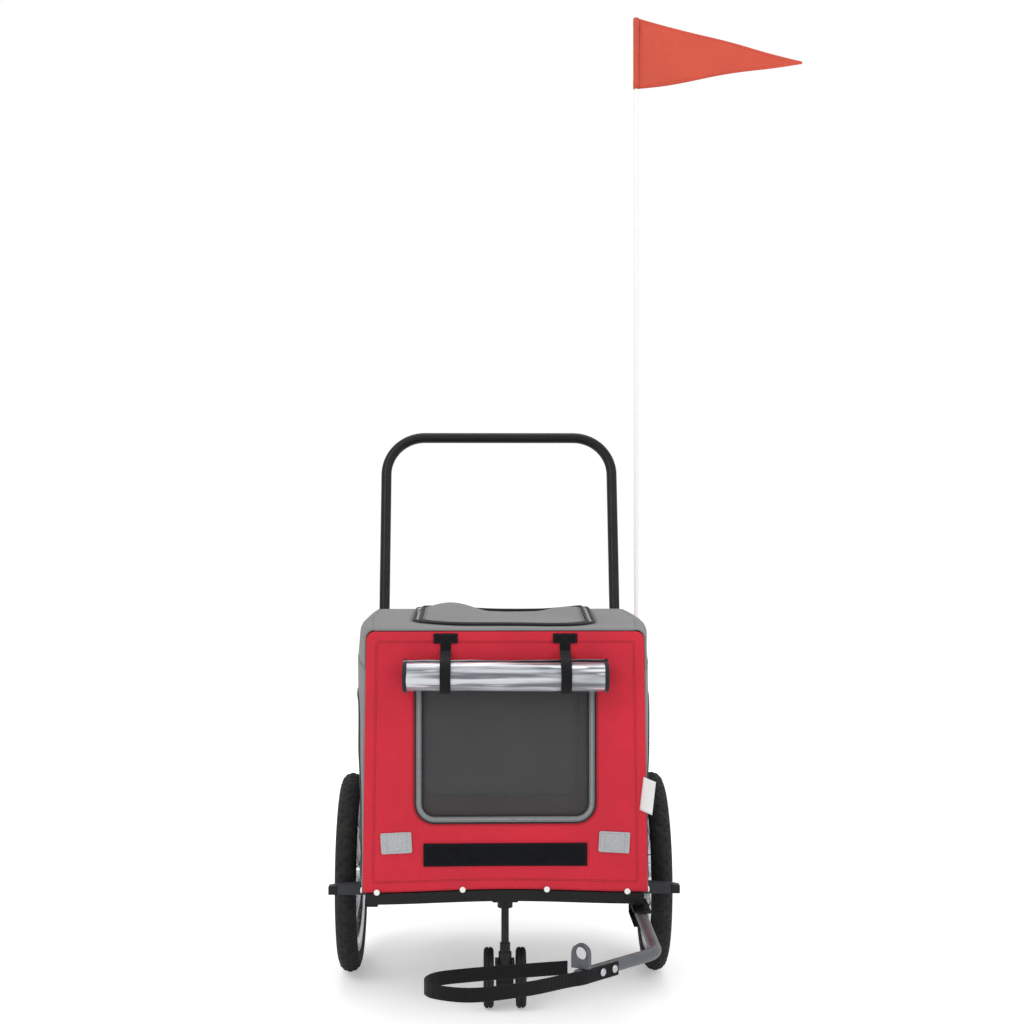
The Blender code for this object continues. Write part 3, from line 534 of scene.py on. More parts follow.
class Paint:
    """A procedural material under construction. Patterns use the piece's own place in metres."""

    def __init__(self, name, **inputs):
        self.material = bpy.data.materials.new(name)
        self.material.use_nodes = True
        self.tree = self.material.node_tree
        self.shader = self.tree.nodes["Principled BSDF"]
        place = self.tree.nodes.new("ShaderNodeTexCoord")
        self.place = place.outputs["Object"]
        self.normal = place.outputs["Normal"]
        self.relief = None
        for key, value in inputs.items():
            self.set(key.replace("_", " "), value)

    def set(self, socket, value):
        """Gives a shader input a value or the output of another node."""
        self.fill(self.shader.inputs[socket], value)

    def fill(self, socket, value):
        if isinstance(value, bpy.types.NodeSocket):
            self.tree.links.new(value, socket)
        else:
            socket.default_value = value

    def calculate(self, operation, *values):
        node = self.tree.nodes.new("ShaderNodeMath")
        node.operation = operation
        for socket, value in zip(node.inputs, values):
            self.fill(socket, value)
        return node.outputs[0]

    def vector(self, operation, *values):
        node = self.tree.nodes.new("ShaderNodeVectorMath")
        node.operation = operation
        for socket, value in zip(node.inputs, values):
            self.fill(socket, value)
        return node.outputs["Value" if operation == "DOT_PRODUCT" else "Vector"]

    def noise(self, size, detail=3.0, stretch=(1, 1, 1)):
        """Noise whose features are about this many metres across."""
        scaled = self.vector("MULTIPLY", self.place, tuple(s / size for s in stretch))
        node = self.tree.nodes.new("ShaderNodeTexNoise")
        node.inputs["Scale"].default_value = 1.0
        node.inputs["Detail"].default_value = detail
        self.fill(node.inputs["Vector"], scaled)
        return node.outputs["Fac"]

    def span(self, value, low, high, to_low=0.0, to_high=1.0):
        node = self.tree.nodes.new("ShaderNodeMapRange")
        node.interpolation_type = "SMOOTHSTEP"
        self.fill(node.inputs["Value"], value)
        for socket, number in zip(("From Min", "From Max", "To Min", "To Max"), (low, high, to_low, to_high)):
            self.fill(node.inputs[socket], number)
        return node.outputs["Result"]

    def blend(self, share, first, second):
        node = self.tree.nodes.new("ShaderNodeMix")
        node.data_type = "RGBA"
        self.fill(node.inputs["Factor"], share)
        self.fill(node.inputs["A"], first)
        self.fill(node.inputs["B"], second)
        return node.outputs["Result"]

    def bump(self, height, depth, strength=1.0):
        """Adds a relief this many metres deep to the shader's normal."""
        node = self.tree.nodes.new("ShaderNodeBump")
        node.inputs["Strength"].default_value = strength
        node.inputs["Distance"].default_value = depth
        self.fill(node.inputs["Height"], height)
        if self.relief:
            self.fill(node.inputs["Normal"], self.relief)
        self.relief = node.outputs["Normal"]
        self.set("Normal", self.relief)

    def waves(self, pitch):
        """Three sines, one along each axis, as separate outputs."""
        scaled = self.vector("MULTIPLY", self.place, (2 * math.pi / pitch,) * 3)
        node = self.tree.nodes.new("ShaderNodeSeparateXYZ")
        self.fill(node.inputs[0], self.vector("SINE", scaled))
        return node.outputs

    def weave(self, pitch):
        """A plain weave on whichever plane the surface faces, from -1 to 1."""
        x, y, z = self.waves(pitch)
        planes = self.tree.nodes.new("ShaderNodeCombineXYZ")
        for socket, (a, b) in zip(planes.inputs, ((y, z), (x, z), (x, y))):
            self.fill(socket, self.calculate("MULTIPLY", a, b))
        facing = self.vector("ABSOLUTE", self.normal)
        return self.vector("DOT_PRODUCT", planes.outputs[0], facing)

    def height(self):
        node = self.tree.nodes.new("ShaderNodeSeparateXYZ")
        self.fill(node.inputs[0], self.place)
        return node.outputs[2]


def coated_metal(name, colour, wear_and_painted_highlight, roughness):
    """Powder coat with a faint orange-peel skin, dust and scuffs down to a brighter tone."""
    paint = Paint(name, Specular_IOR_Level=0.30, Coat_Weight=0.08, Coat_Roughness=0.30)
    patches = paint.noise(0.060, 4)
    scuffs = paint.span(paint.noise(0.0045, 6, (1, 1, 0.35)), 0.66, 0.74)
    base = paint.blend(paint.span(patches, 0.35, 0.7), colour, shade(colour, 1.25))
    paint.set("Base Color", paint.blend(paint.calculate("MULTIPLY", scuffs, 0.15), base, wear_and_painted_highlight))
    paint.set("Roughness", paint.span(paint.noise(0.020, 4), 0.3, 0.7, roughness - 0.06, roughness + 0.10))
    paint.bump(paint.noise(0.0016, 2), 0.00008, 0.5)
    paint.bump(scuffs, 0.00005, 0.6)
    return paint.material


def bare_metal(name, colour, roughness, grain, metallic=1.0):
    """Plated or brushed metal. grain stretches its fine scratches along one way."""
    paint = Paint(name, Metallic=metallic)
    streaks = paint.noise(0.0009, 5, grain)
    stains = paint.span(paint.noise(0.014, 5), 0.45, 0.72)
    paint.set("Base Color", paint.blend(stains, colour, shade(colour, 0.62)))
    paint.set("Roughness", paint.span(streaks, 0.3, 0.7, roughness - 0.07, roughness + 0.12))
    paint.bump(streaks, 0.00003, 0.7)
    return paint.material


def moulded(name, colour, roughness, grain=0.0006, depth=0.00005, dusty=0.12, shine=0.4):
    """Moulded plastic or rubber with a fine grain and a little dust."""
    paint = Paint(name, Specular_IOR_Level=shine)
    dust = paint.span(paint.noise(0.022, 6), 0.48, 0.78, 0.0, dusty)
    paint.set("Base Color", paint.blend(dust, colour, tint(92, 90, 86)))
    paint.set("Roughness", paint.span(paint.noise(0.008, 3), 0.3, 0.7, roughness - 0.07, roughness + 0.08))
    paint.bump(paint.noise(grain, 2), depth, 0.7)
    return paint.material


def cloth(name, colour, pitch, sheen, roughness=0.78, ribs=0.00016):
    """Coated woven cloth: thread relief, painted shade in the weave's hollows, soft clouds and creases."""
    paint = Paint(name, Sheen_Weight=sheen, Sheen_Roughness=0.45)
    weave = paint.weave(pitch)
    threads = paint.span(weave, -0.8, 0.8)
    slubs = paint.noise(0.0022, 3, (1, 1, 0.25))
    clouds = paint.span(paint.noise(0.090, 3), 0.30, 0.72)
    toned = paint.blend(clouds, shade(colour, 0.93), shade(colour, 1.12))
    # Painted shade: the cloth is darker where the weave dips between threads.
    paint.set("Base Color", paint.blend(paint.span(threads, 0.0, 0.75), shade(colour, 0.74), toned))
    paint.set("Roughness", paint.span(slubs, 0.3, 0.7, roughness - 0.06, roughness + 0.06))
    paint.bump(paint.noise(0.018, 4, (1, 1, 0.6)), 0.0007, 0.28)
    paint.bump(slubs, 0.00008, 0.35)
    paint.bump(weave, ribs, 0.55)
    return paint.material


def net(name, colour, pitch, open_share, lining):
    """Knitted net with see-through holes. lining is how much a hole still hides."""
    paint = Paint(name, Roughness=0.8, Sheen_Weight=0.2)
    waves = paint.waves(pitch)
    holes = paint.calculate("ADD", waves[0], waves[2])
    threads = paint.span(holes, open_share - 0.5, open_share + 0.5, 1.0, 0.0)
    paint.set("Alpha", paint.calculate("MAXIMUM", threads, lining))
    paint.set("Base Color", paint.blend(paint.noise(0.05), colour, shade(colour, 1.25)))
    paint.bump(holes, 0.0002, 0.5)
    return paint.material


def webbing(name, colour):
    """Heavy webbing with ribs and a painted highlight on their crests."""
    paint = Paint(name, Roughness=0.82, Specular_IOR_Level=0.25, Sheen_Weight=0.06)
    x, y, z = paint.waves(0.0011)
    ribs = paint.calculate("MULTIPLY", paint.calculate("ADD", x, y), z)
    # Painted highlight: the crests of the ribs are lighter.
    wear_and_painted_highlight = paint.calculate("MULTIPLY", paint.span(ribs, 0.2, 1.4), 0.25)
    paint.set("Base Color", paint.blend(wear_and_painted_highlight, colour, tint(58, 59, 62)))
    paint.bump(ribs, 0.00018, 0.7)
    paint.bump(paint.noise(0.0007, 2), 0.0001, 0.5)
    return paint.material


def clear_roll(name):
    """Clear film rolled up many times: milky and glossy, with painted reflection streaks and painted glints along
    its length.
    """
    paint = Paint(name, Specular_IOR_Level=0.7, Coat_Weight=0.7, Coat_Roughness=0.08, Metallic=0.35)
    folds = paint.noise(0.0085, 2, (0.05, 1, 1))
    painted_glints = paint.noise(0.0060, 1, (0.08, 1, 1))
    # Painted reflections: the colour runs dark and light grey along the folds, with bright painted glints over it.
    painted_reflection = paint.blend(paint.span(folds, 0.36, 0.64), tint(104, 108, 116), tint(206, 210, 216))
    paint.set("Base Color", paint.blend(paint.span(painted_glints, 0.60, 0.72), painted_reflection, tint(240, 242, 246)))
    paint.set("Roughness", paint.span(folds, 0.3, 0.7, 0.10, 0.26))
    paint.bump(folds, 0.0024, 0.65)
    paint.bump(painted_glints, 0.0010, 0.4)
    return paint.material


def retro_reflector(name):
    """White sheet with the grid of a prismatic reflector under a clear skin."""
    paint = Paint(name, Roughness=0.22, Coat_Weight=0.8, Coat_Roughness=0.08, Metallic=0.25)
    waves = paint.waves(0.0034)
    cells = paint.calculate("MULTIPLY", waves[0], waves[2])
    facets = paint.span(cells, -0.5, 0.5)
    paint.set("Base Color", paint.blend(facets, tint(150, 153, 157), tint(188, 190, 193)))
    paint.bump(cells, 0.0005, 0.8)
    return paint.material


def tyre_rubber(name, colour):
    """Tyre rubber with patches of dust."""
    paint = Paint(name, Roughness=0.82)
    dust = paint.span(paint.noise(0.016, 6), 0.42, 0.75, 0.02, 0.14)
    paint.set("Base Color", paint.blend(dust, colour, tint(96, 90, 82)))
    paint.bump(paint.noise(0.0009, 3), 0.00012, 0.8)
    return paint.material


def build_paints():
    recipes = {
        "frame_black": (coated_metal, tint(9, 9, 10), tint(110, 110, 112), 0.40),
        "guard_grey": (coated_metal, tint(48, 50, 54), tint(130, 130, 130), 0.50),
        "bare_steel": (bare_metal, tint(190, 192, 196), 0.26, (1, 1, 1)),
        "tube_grey": (bare_metal, tint(96, 99, 104), 0.42, (0.3, 0.3, 1), 0.4),
        "rim_silver": (bare_metal, tint(198, 200, 204), 0.28, (1, 0.4, 0.4)),
        "tyre_black": (tyre_rubber, tint(20, 20, 21)),
        "caster_tread": (tyre_rubber, tint(20, 20, 21)),
        "plastic_black": (moulded, tint(15, 15, 17), 0.50),
        "fabric_red": (cloth, tint(212, 34, 56), 0.0011, 0.10),
        "fabric_grey": (cloth, tint(128, 128, 128), 0.0011, 0.12),
        "mat_grey": (cloth, tint(66, 67, 71), 0.0014, 0.25),
        "mesh_dark": (net, tint(68, 68, 70), 0.0010, 0.40, 0.25),
        "mesh_lined": (net, tint(100, 100, 102), 0.0007, 0.75, 0.94),
        "webbing_black": (webbing, tint(14, 15, 18)),
        "hook_and_loop": (moulded, tint(26, 27, 31), 0.95, 0.0011, 0.0005, 0.0, 0.15),
        "binding_black": (cloth, tint(24, 25, 28), 0.0010, 0.15),
        "zip_black": (cloth, tint(40, 41, 45), 0.0009, 0.15),
        "zip_tape": (cloth, tint(144, 146, 148), 0.0009, 0.15),
        "zip_teeth": (moulded, tint(166, 168, 170), 0.32),
        "cover_clear": (clear_roll,),
        "reflector_white": (retro_reflector,),
        "pole_white": (moulded, tint(246, 246, 244), 0.34, 0.0012, 0.00003, 0.0),
        "snap_white": (moulded, tint(240, 240, 238), 0.25, 0.0010, 0.00002, 0.0),
        "label_white": (cloth, tint(246, 246, 246), 0.0007, 0.1),
        "thread_red": (cloth, tint(150, 26, 42), 0.0004, 0.2),
        "thread_grey": (cloth, tint(96, 96, 98), 0.0004, 0.2),
        "thread_black": (cloth, tint(36, 36, 39), 0.0004, 0.2),
        "flag_orange": (cloth, tint(216, 80, 56), 0.0009, 0.15, 0.6),
    }
    return {name: recipe(name, *values) for name, (recipe, *values) in recipes.items()}


PAINTS = build_paints()


# Rigid pieces carried over from the frame.


def dress_frame():
    """Gives every frame node its material, and softens the edges of those that are shown."""
    slots = {part["node"]: part["material_slot"] for part in frame["record"]["subparts"]}
    for name, node in frame["nodes"].items():
        node.data.materials.clear()
        node.data.materials.append(PAINTS[slots[name]])
        if node.hide_render:
            continue
        node.data.shade_smooth()
        weld = node.modifiers.new("weld", "WELD")
        weld.merge_threshold = 0.00001
        bevel = node.modifiers.new("bevel", "BEVEL")
        bevel.width = 0.0005
        bevel.segments = 2
        bevel.limit_method = "ANGLE"
        bevel.angle_limit = math.radians(38)
        normals = node.modifiers.new("normals", "WEIGHTED_NORMAL")
        normals.weight = 50


# Cloth walls.

FRONT_BEND = ("chassis", "front_hoop", (0, FRONT_FACE, FRONT_LOW.z), (0, FRONT_FACE, FRONT_LOW.z + 0.034))
REAR_BEND = ("chassis", "rear_hoop", (0, REAR_FACE, REAR_LOW.z), (0, REAR_FACE, REAR_LOW.z + 0.030))
LOOP_SIDE = 44
FOLD_LEAN = 0.04
FOLD_SINK = 0.5
ROOF_SQUASH = {
    "joint": "cabin_fold",
    "axis": (1, 0, 0),
    "anchor": (0, 0, CABIN_TOP),
    "keep": 1 - FOLD_SINK * FOLD_LEAN * (CABIN_TOP - CABIN_BOTTOM) / ROOF_HIGH.x,
}


def side_squash(side):
    """How a side wall should settle as the cabin folds and lean in to stay off the tyre, with the roof narrowing
    to match; the record is returned but nothing applies it.
    """
    anchor = (side * SIDE_LOW.x, 0, CABIN_BOTTOM)
    return {"joint": "cabin_fold", "axis": (side * FOLD_LEAN, 0, 1), "anchor": anchor, "keep": 1 - FOLD_SINK}


def walled_window(outer, inner, place):
    """Cloth between its outline and an opening in it, both given as loops of equal length."""
    rows = []
    for share in spread(0, 1, 26):
        rows.append([place(*a.lerp(b, share), -CLOTH / 2) for a, b in zip(outer, inner)])
    return Shape().grid(rows, loop_columns=True)


def wall_loop(low, high, inset=0.0):
    """The outline of a front or rear wall, this far in from its edge."""
    lean = LEAN["front"] if low.y < 0 else LEAN["rear"]
    halves = (high.x - inset, high.x - lean - inset)
    radii = (0.003, max(0.004, TOP_CORNER - inset))
    return rounded_loop(halves, low.z + inset, high.z - inset, radii, LOOP_SIDE)


def window_loop(node, inset=0.0, radii=(0.028, 0.020)):
    """The outline of a window opening, this far in from the edge of the named node."""
    low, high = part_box(node)
    corners = tuple(max(0.003, r - inset) for r in radii)
    return rounded_loop((high.x - inset,) * 2, low.z + inset, high.z - inset, corners, LOOP_SIDE)


def front_wall():
    outer = wall_loop(FRONT_LOW, FRONT_HIGH)
    shape = walled_window(outer, window_loop("window_zip", -0.0003), on_front)
    piece("front_wall_cloth", shape, "fabric_red", FRONT_BEND, stands_for=["front_panel"], thickness=CLOTH)
    seams = Shape()
    for inset in DOUBLE_HEM:
        seams.stitches(wall_loop(FRONT_LOW, FRONT_HIGH, inset), on_front, closed=True)
    seams.stitches(window_loop("window_zip", -0.0035), on_front, closed=True)
    piece("front_wall_stitching", seams, "fabric_red", FRONT_BEND, "thread_red")


def zipper(node, loop_at, place, body, width, cord, tape_paint):
    """A closed zip: woven tape between two corded edges, with two meshing rows of teeth along its middle."""
    middle = width / 2
    path = resample(loop_at(middle), 0.0025, closed=True)
    band = Shape().sweep(path, tape(0, middle - 0.0004, 0.0007, -0.0004), place, closed=True)
    piece(node + "_tape", band, "zip_black", body, tape_paint, stands_for=[node])
    cords = Shape()
    for inset in (cord - 0.0007, width + 0.0005 - cord):
        cords.sweep(resample(loop_at(inset), 0.0025, closed=True), bead(0, cord), place, closed=True)
    piece(node + "_cords", cords, "zip_black", body, "binding_black")
    piece(node + "_teeth", Shape().teeth(loop_at(middle), place), "zip_black", body, "zip_teeth")
    seams = Shape()
    for inset in (cord + 0.0024, width - cord - 0.0024):
        seams.stitches(loop_at(inset), place, closed=True, radius=0.0003, lift=0.0004)
    piece(node + "_stitching", seams, "zip_black", body, "thread_grey")


def zip_slider(name, point, place, body):
    """A zip's slider with its bridge and a pull tab that lies against the cloth."""
    low, high = 0.0004, 0.0030
    bridge_top = high + 0.0016

    def local(u, w, h):
        return place(point.x - w, point.y - u, h)

    def plate(half_outline, bottom, top):
        outline = half_outline + [(u, -w) for u, w in reversed(half_outline)]
        slider.solid([[local(u, w, h) for u, w in outline] for h in (bottom, top)])

    slider = Shape()
    slider_half = [(-0.0050, 0.0026), (0.0, 0.0040), (0.0050, 0.0036)]
    tab_half = [(-0.0015, 0.0016), (-0.0050, 0.0030), (-0.0190, 0.0030), (-0.0210, 0.0018)]
    plate(slider_half, low, high)
    bridge = [(-0.0035, high), (-0.0028, bridge_top), (0.0028, bridge_top), (0.0035, high)]
    slider.pipe([local(u, 0, h) for u, h in bridge], 0.0007, 8)
    plate(tab_half, high + 0.0002, high + 0.0013)
    piece(name, slider, "bare_steel", body, sharp=30)


def front_window():
    """The window's zip, and the net that hangs a little slack inside it."""
    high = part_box("window_zip")[1]
    width = 0.0110

    def loop_at(inset):
        return window_loop("window_zip", inset)

    def billow(x, z, share):
        sag = 0.0045 * (1 - share**2) + 0.0009 * ripple(14 * x, 11 * z, 2.2) * (1 - share)
        return on_front(x, z, -0.0011 + min(sag, 0.0045) * 0.6)

    zipper("window_zip", loop_at, on_front, "front_hoop", width, 0.0011, "zip_tape")
    pull = Vector((-high.x + width / 2, high.z - 0.022))
    zip_slider("window_zip_slider", pull, on_front, "front_hoop")
    edge = window_loop("window_mesh", -0.004, radii=(0.017, 0.009))
    piece("window_net", filled(edge, 20, billow), "mesh_dark", "front_hoop", stands_for=["window_mesh"])


ROLL_SLACK = 0.0018
ROLL_TURNS = 3.2


def rolled_cover():
    """The clear rain cover rolled up over the window: a loose spiral of film with bound ends."""
    low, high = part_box("rolled_cover")
    middle = (low + high) / 2
    radius = (high.z - low.z) / 2 + ROLL_SLACK
    spiral = [(2 * math.pi * ROLL_TURNS * share, share) for share in spread(0, 1, 128)]

    def film(x, angle, share):
        c, s = math.cos(angle), math.sin(angle)
        dent = 0.0011 * ripple(9 * x, c * 1.3, s * 1.3 + share) + 0.0004 * ripple(40 * x, 2 * c, 2 * s)
        reach = mix(radius * 0.42, radius - 0.0009, share) + dent * share
        return Vector((x, middle.y, middle.z)) + radial(angle) * reach

    rows = [[film(x, *turn) for turn in spiral] for x in spread(low.x + 0.001, high.x - 0.001, 64)]
    piece("rolled_rain_cover", Shape().grid(rows), "cover_clear", "front_hoop",
          stands_for=["rolled_cover"], thickness=0.0007)
    ends = Shape()
    for side in SIDES.values():
        end = Vector((side * (high.x - 0.0030), middle.y, middle.z))
        path = [end + radial(angle) * mix(radius * 0.40, radius, share) for angle, share in spiral]
        ends.ribbon(path, X_AXIS, 0.0030, 0.0020)
    piece("rolled_cover_bindings", ends, "cover_clear", "front_hoop", "binding_black")


def tie_straps():
    """Two straps that hold the rolled cover, each hanging from a sewn tab."""
    low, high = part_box("rolled_cover")
    middle = (low + high) / 2
    radius = (high.z - low.z) / 2 + ROLL_SLACK + 0.0008
    for name in SIDES:
        low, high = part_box("tie_strap_" + name)
        x = (low.x + high.x) / 2
        top, bottom = high.z, high.z - 0.0140
        centre = (top + bottom) / 2
        wall = on_front(x, top - 0.008, 0.0011).y
        path = [Vector((x, wall, z)) for z in spread(top - 0.004, top - 0.024, 5)]
        turns = spread(math.radians(100), math.radians(300), 30)
        path += [Vector((x, middle.y, middle.z)) + radial(turn) * radius for turn in turns]
        strap = Shape().ribbon(resample(path, 0.0015), X_AXIS, 0.0075, 0.0013)
        piece("tie_strap_loop_" + name, strap, "webbing_black", "front_hoop",
              stands_for=["tie_strap_" + name])
        loop = rounded_loop(((high.x - low.x) / 2,) * 2, bottom, top, (0.0015, 0.0015), 8, 3)
        tab = Shape().solid([[on_front(x + p.x, p.y, h) for p in loop] for h in (0.0002, 0.0015, 0.0019)])
        piece("tie_strap_tab_" + name, tab, "webbing_black", "front_hoop")
        inner = [Vector((x + p.x * 0.88, mix(centre, p.y, 0.74))) for p in loop]
        seam = Shape().stitches(inner, on_front, closed=True, lift=0.0020)
        for reach in (0.006, -0.006):
            cross = [Vector((x - reach, bottom + 0.002)), Vector((x + reach, top - 0.002))]
            seam.stitches(cross, on_front, lift=0.0020)
        piece("tie_strap_stitching_" + name, seam, "webbing_black", "front_hoop", "thread_black")


def fastener_strip():
    """The hook-and-loop strip under the window, sewn round its edge."""
    low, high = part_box("velcro_strip")
    inset = 0.0022

    def hooks(x, z):
        edge = min(x - low.x, high.x - x, z - low.z, high.z - z)
        fuzz = 0.00035 * ripple(420 * x, 420 * z, 4) * ease((edge - 0.0025) / 0.002)
        sewn = 0.0004 * ease(edge / 0.0012) - 0.0003 * hill(edge - inset, 0.0006)
        return on_front(x, z, 0.0012 + fuzz + sewn)

    rows = [[hooks(x, z) for x in spread(low.x, high.x, 150)] for z in spread(low.z, high.z, 22)]
    piece("fastener_strip", Shape().grid(rows), "webbing_black", "front_hoop", "hook_and_loop",
          stands_for=["velcro_strip"], thickness=0.0012)
    loop = rounded_loop((high.x - inset,) * 2, low.z + inset, high.z - inset, (0.002, 0.002), 30, 3)
    seam = Shape().stitches(loop, on_front, closed=True, lift=0.0019)
    piece("fastener_strip_stitching", seam, "webbing_black", "front_hoop", "thread_black")


def tilted(points, centre, turn, height):
    """Points on the front wall, turned about a centre on it."""
    c, s = math.cos(turn), math.sin(turn)
    return [on_front(centre.x + u * c - v * s, centre.z + u * s + v * c, height) for u, v in points]


def reflectors():
    """Two sewn-on reflector patches with a clear prismatic face, a raised rim and two ribs."""
    section = ((0, 0.0002), (0, 0.0016), (0.0006, 0.0021), (0.0024, 0.0021), (0.0028, 0.0017))
    for name, side in SIDES.items():
        low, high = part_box("reflector_" + name)
        centre = (low + high) / 2
        half, tall = (high.x - low.x) / 2, (high.z - low.z) / 2
        turn = math.radians(-3.0 * side)
        rows = []
        for inset, height in section:
            loop = rounded_loop((half - inset,) * 2, inset - tall, tall - inset, (0.0026, 0.0026), 8, 4)
            rows.append(tilted(loop, centre, turn, height))
        shape = Shape().solid(rows)
        for share in (-0.30, 0.34):
            left, right = share * half * 2 - 0.0004, share * half * 2 + 0.0004
            bottom, top = 0.003 - tall, tall - 0.003
            rib = [(left, bottom), (right, bottom), (right, top), (left, top)]
            shape.solid([tilted(rib, centre, turn, height) for height in (0.0016, 0.0021)])
        piece("reflector_patch_" + name, shape, "reflector_white", "front_hoop",
              stands_for=["reflector_" + name], sharp=25)


SNAP_DOME = (
    (0.0042, 0), (0.0042, 0.0010), (0.0036, 0.0018), (0.0022, 0.0023), (0.0019, 0.0019), (0.0008, 0.0018),
)
FRONT_SNAPS = (-0.1805, -0.0601, 0.0583, 0.1717)


def snap(shape, place, out):
    """Adds one snap cap at a place, standing outwards."""
    across = out.cross(Z_AXIS)
    shape.solid([circle(place + out * along, across, Z_AXIS, radius, 20) for radius, along in SNAP_DOME])


def snaps():
    """White snap caps that hold the walls' lower hem to the front tube and the side rails."""
    shape = Shape()
    for x in FRONT_SNAPS:
        z = FRONT_LOW.z + arch(x, FRONT_LOW.z) + 0.0005
        snap(shape, Vector((x, FRONT_FACE - 0.0019, z)), -Y_AXIS)
    for side in SIDES.values():
        place = on_side(side)(FRONT_FACE + 0.0120, CABIN_BOTTOM + 0.0005, 0.0004)
        snap(shape, place, X_AXIS * side)
    piece("hem_snaps", shape, "bare_steel", "chassis", "snap_white")


def label():
    """A plain white label that stands out of the left front seam."""
    top, bottom = GROUND + 0.3400, GROUND + 0.2940

    def fold(down, across):
        x = 0.1945 + 0.0165 * across - 0.0055 * down
        lift = 0.0030 + 0.0105 * math.sin(math.pi / 2 * across) * (0.75 + 0.25 * down)
        return Vector((x, FRONT_FACE - lift, mix(top, bottom, down) - 0.0060 * across))

    rows = [[fold(down, across) for across in spread(0, 1, 8)] for down in spread(0, 1, 14)]
    piece("side_label", Shape().grid(rows), "fabric_grey", "chassis", "label_white",
          thickness=0.0006, squash=side_squash(SIDES["left"]))


def rear_wall():
    """The rear wall, whose hem reaches down to the rear tube, with its bound window and net."""
    radii = (0.02, 0.02)
    opening = window_loop("rear_mesh", radii=radii)
    shape = walled_window(wall_loop(REAR_HEM, REAR_HIGH), opening, on_rear)
    piece("rear_wall_cloth", shape, "fabric_red", REAR_BEND, stands_for=["rear_panel"], thickness=CLOTH)
    seams = Shape()
    for inset in DOUBLE_HEM:
        seams.stitches(wall_loop(REAR_HEM, REAR_HIGH, inset), on_rear, closed=True)
    piece("rear_wall_stitching", seams, "fabric_red", REAR_BEND, "thread_red")
    loop = resample(window_loop("rear_mesh", -0.002, radii=radii), 0.003, closed=True)
    binding = Shape().sweep(loop, tape(0, 0.0055, 0.0011), on_rear, closed=True)
    piece("rear_window_binding", binding, "webbing_black", "rear_hoop", "binding_black")
    seam = Shape().stitches(loop, on_rear, closed=True, lift=0.0012)
    piece("rear_window_stitching", seam, "webbing_black", "rear_hoop", "thread_grey")
    edge = window_loop("rear_mesh", -0.003, radii=radii)
    net_shape = filled(edge, 16, lambda x, z, share: on_rear(x, z, -0.0013))
    piece("rear_window_net", net_shape, "mesh_dark", "rear_hoop", "mesh_lined", stands_for=["rear_mesh"])


def side_walls():
    """Side cloths with an arched binding. Each turns in under the mat along its lower edge."""
    front, rear = FRONT_FACE + 0.0032, REAR_FACE - 0.0032
    over = CABIN_TOP - TOP_CORNER + TOP_CORNER * math.pi / 2
    mat_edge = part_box("floor_mat")[1].x - 0.0020
    depths = spread(front, rear, 110)
    half = (rear - front) / 2 - 0.042
    arched = rounded_loop((half, half - 0.012), CABIN_BOTTOM + 0.012, BINDING_TOP, (0.010, 0.085), 30, 12)
    arched = [Vector(((front + rear) / 2 + p.x, p.y)) for p in arched]
    for name, side in SIDES.items():
        place = on_side(side)
        squash = side_squash(side)
        rows = [[Vector((side * mat_edge, y, CABIN_BOTTOM)) for y in depths]]
        rows += [[place(y, z, -CLOTH / 2) for y in depths] for z in spread(CABIN_BOTTOM, over, 96)]
        piece("side_wall_cloth_" + name, Shape().grid(rows), "fabric_grey", "chassis",
              stands_for=["side_panel_" + name], thickness=CLOTH, squash=squash)
        seams = Shape()
        for z in (YOKE_EDGE + 0.0035, YOKE_EDGE + 0.0057, CABIN_BOTTOM + 0.010):
            seams.stitches([Vector((y, z)) for y in spread(front, rear, 40)[1:-1]], place)
        for y in (front + 0.009, rear - 0.009):
            seams.stitches([Vector((y, z)) for z in spread(CABIN_BOTTOM + 0.005, over - 0.005, 40)], place)
        piece("side_wall_stitching_" + name, seams, "fabric_grey", "chassis", "thread_grey", squash=squash)
        path = resample(arched, 0.004, closed=True)
        binding = Shape().sweep(path, tape(0, 0.0052, 0.0014), place, closed=True)
        piece("side_binding_" + name, binding, "webbing_black", "chassis", "binding_black", squash=squash)
        seam = Shape().stitches(arched, place, closed=True, lift=0.0015)
        piece("side_binding_stitching_" + name, seam, "webbing_black", "chassis", "thread_grey",
              squash=squash)


def roof():
    """Roof cloth round its opening, the zip, and the loose flap that closes it."""
    low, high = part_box("roof_zip")
    corner = 0.0897
    width = 0.0127

    def loop_at(inset):
        radius = corner - inset
        return rounded_loop((high.x - inset,) * 2, low.y + inset, high.y - inset, (radius, radius), 30, 14)

    edge = []
    for p in rounded_loop((1, 1), -1, 1, (0.12, 0.12), 30, 14):
        square = p / max(abs(p.x), abs(p.y))
        y = mix(ROOF_LOW.y, ROOF_HIGH.y, (square.y + 1) / 2)
        edge.append(Vector((square.x * roof_half(y), y)))
    piece("roof_cloth", walled_window(edge, loop_at(-0.0003), on_roof), "fabric_grey", "roof",
          stands_for=["roof_cover"], thickness=CLOTH, squash=ROOF_SQUASH)
    seams = Shape()
    for y in (ROOF_LOW.y + 0.008, ROOF_HIGH.y - 0.008):
        reach = roof_half(y) - 0.004
        seams.stitches([Vector((-reach, y)), Vector((reach, y))], on_roof)
    seams.stitches(loop_at(-0.004), on_roof, closed=True)
    piece("roof_stitching", seams, "fabric_grey", "roof", "thread_grey", squash=ROOF_SQUASH)
    zipper("roof_zip", loop_at, on_roof, "roof", width, 0.0020, "zip_black")
    zip_slider("roof_zip_slider", Vector((width / 2 - high.x, -0.050)), on_roof, "roof")
    hinge = JOINTS["roof_flap_open"]
    bend = ("roof", "roof_flap", tuple(hinge), (0, hinge.y - 0.045, hinge.z))
    flap = filled(loop_at(width + 0.0002), 30, lambda x, y, share: on_roof(x, y, -CLOTH / 2))
    piece("roof_flap_cloth", flap, "fabric_grey", bend, stands_for=["roof_flap"], thickness=CLOTH)
    seam = Shape().stitches(loop_at(width + 0.005), on_roof, closed=True)
    piece("roof_flap_stitching", seam, "fabric_grey", bend, "thread_grey")


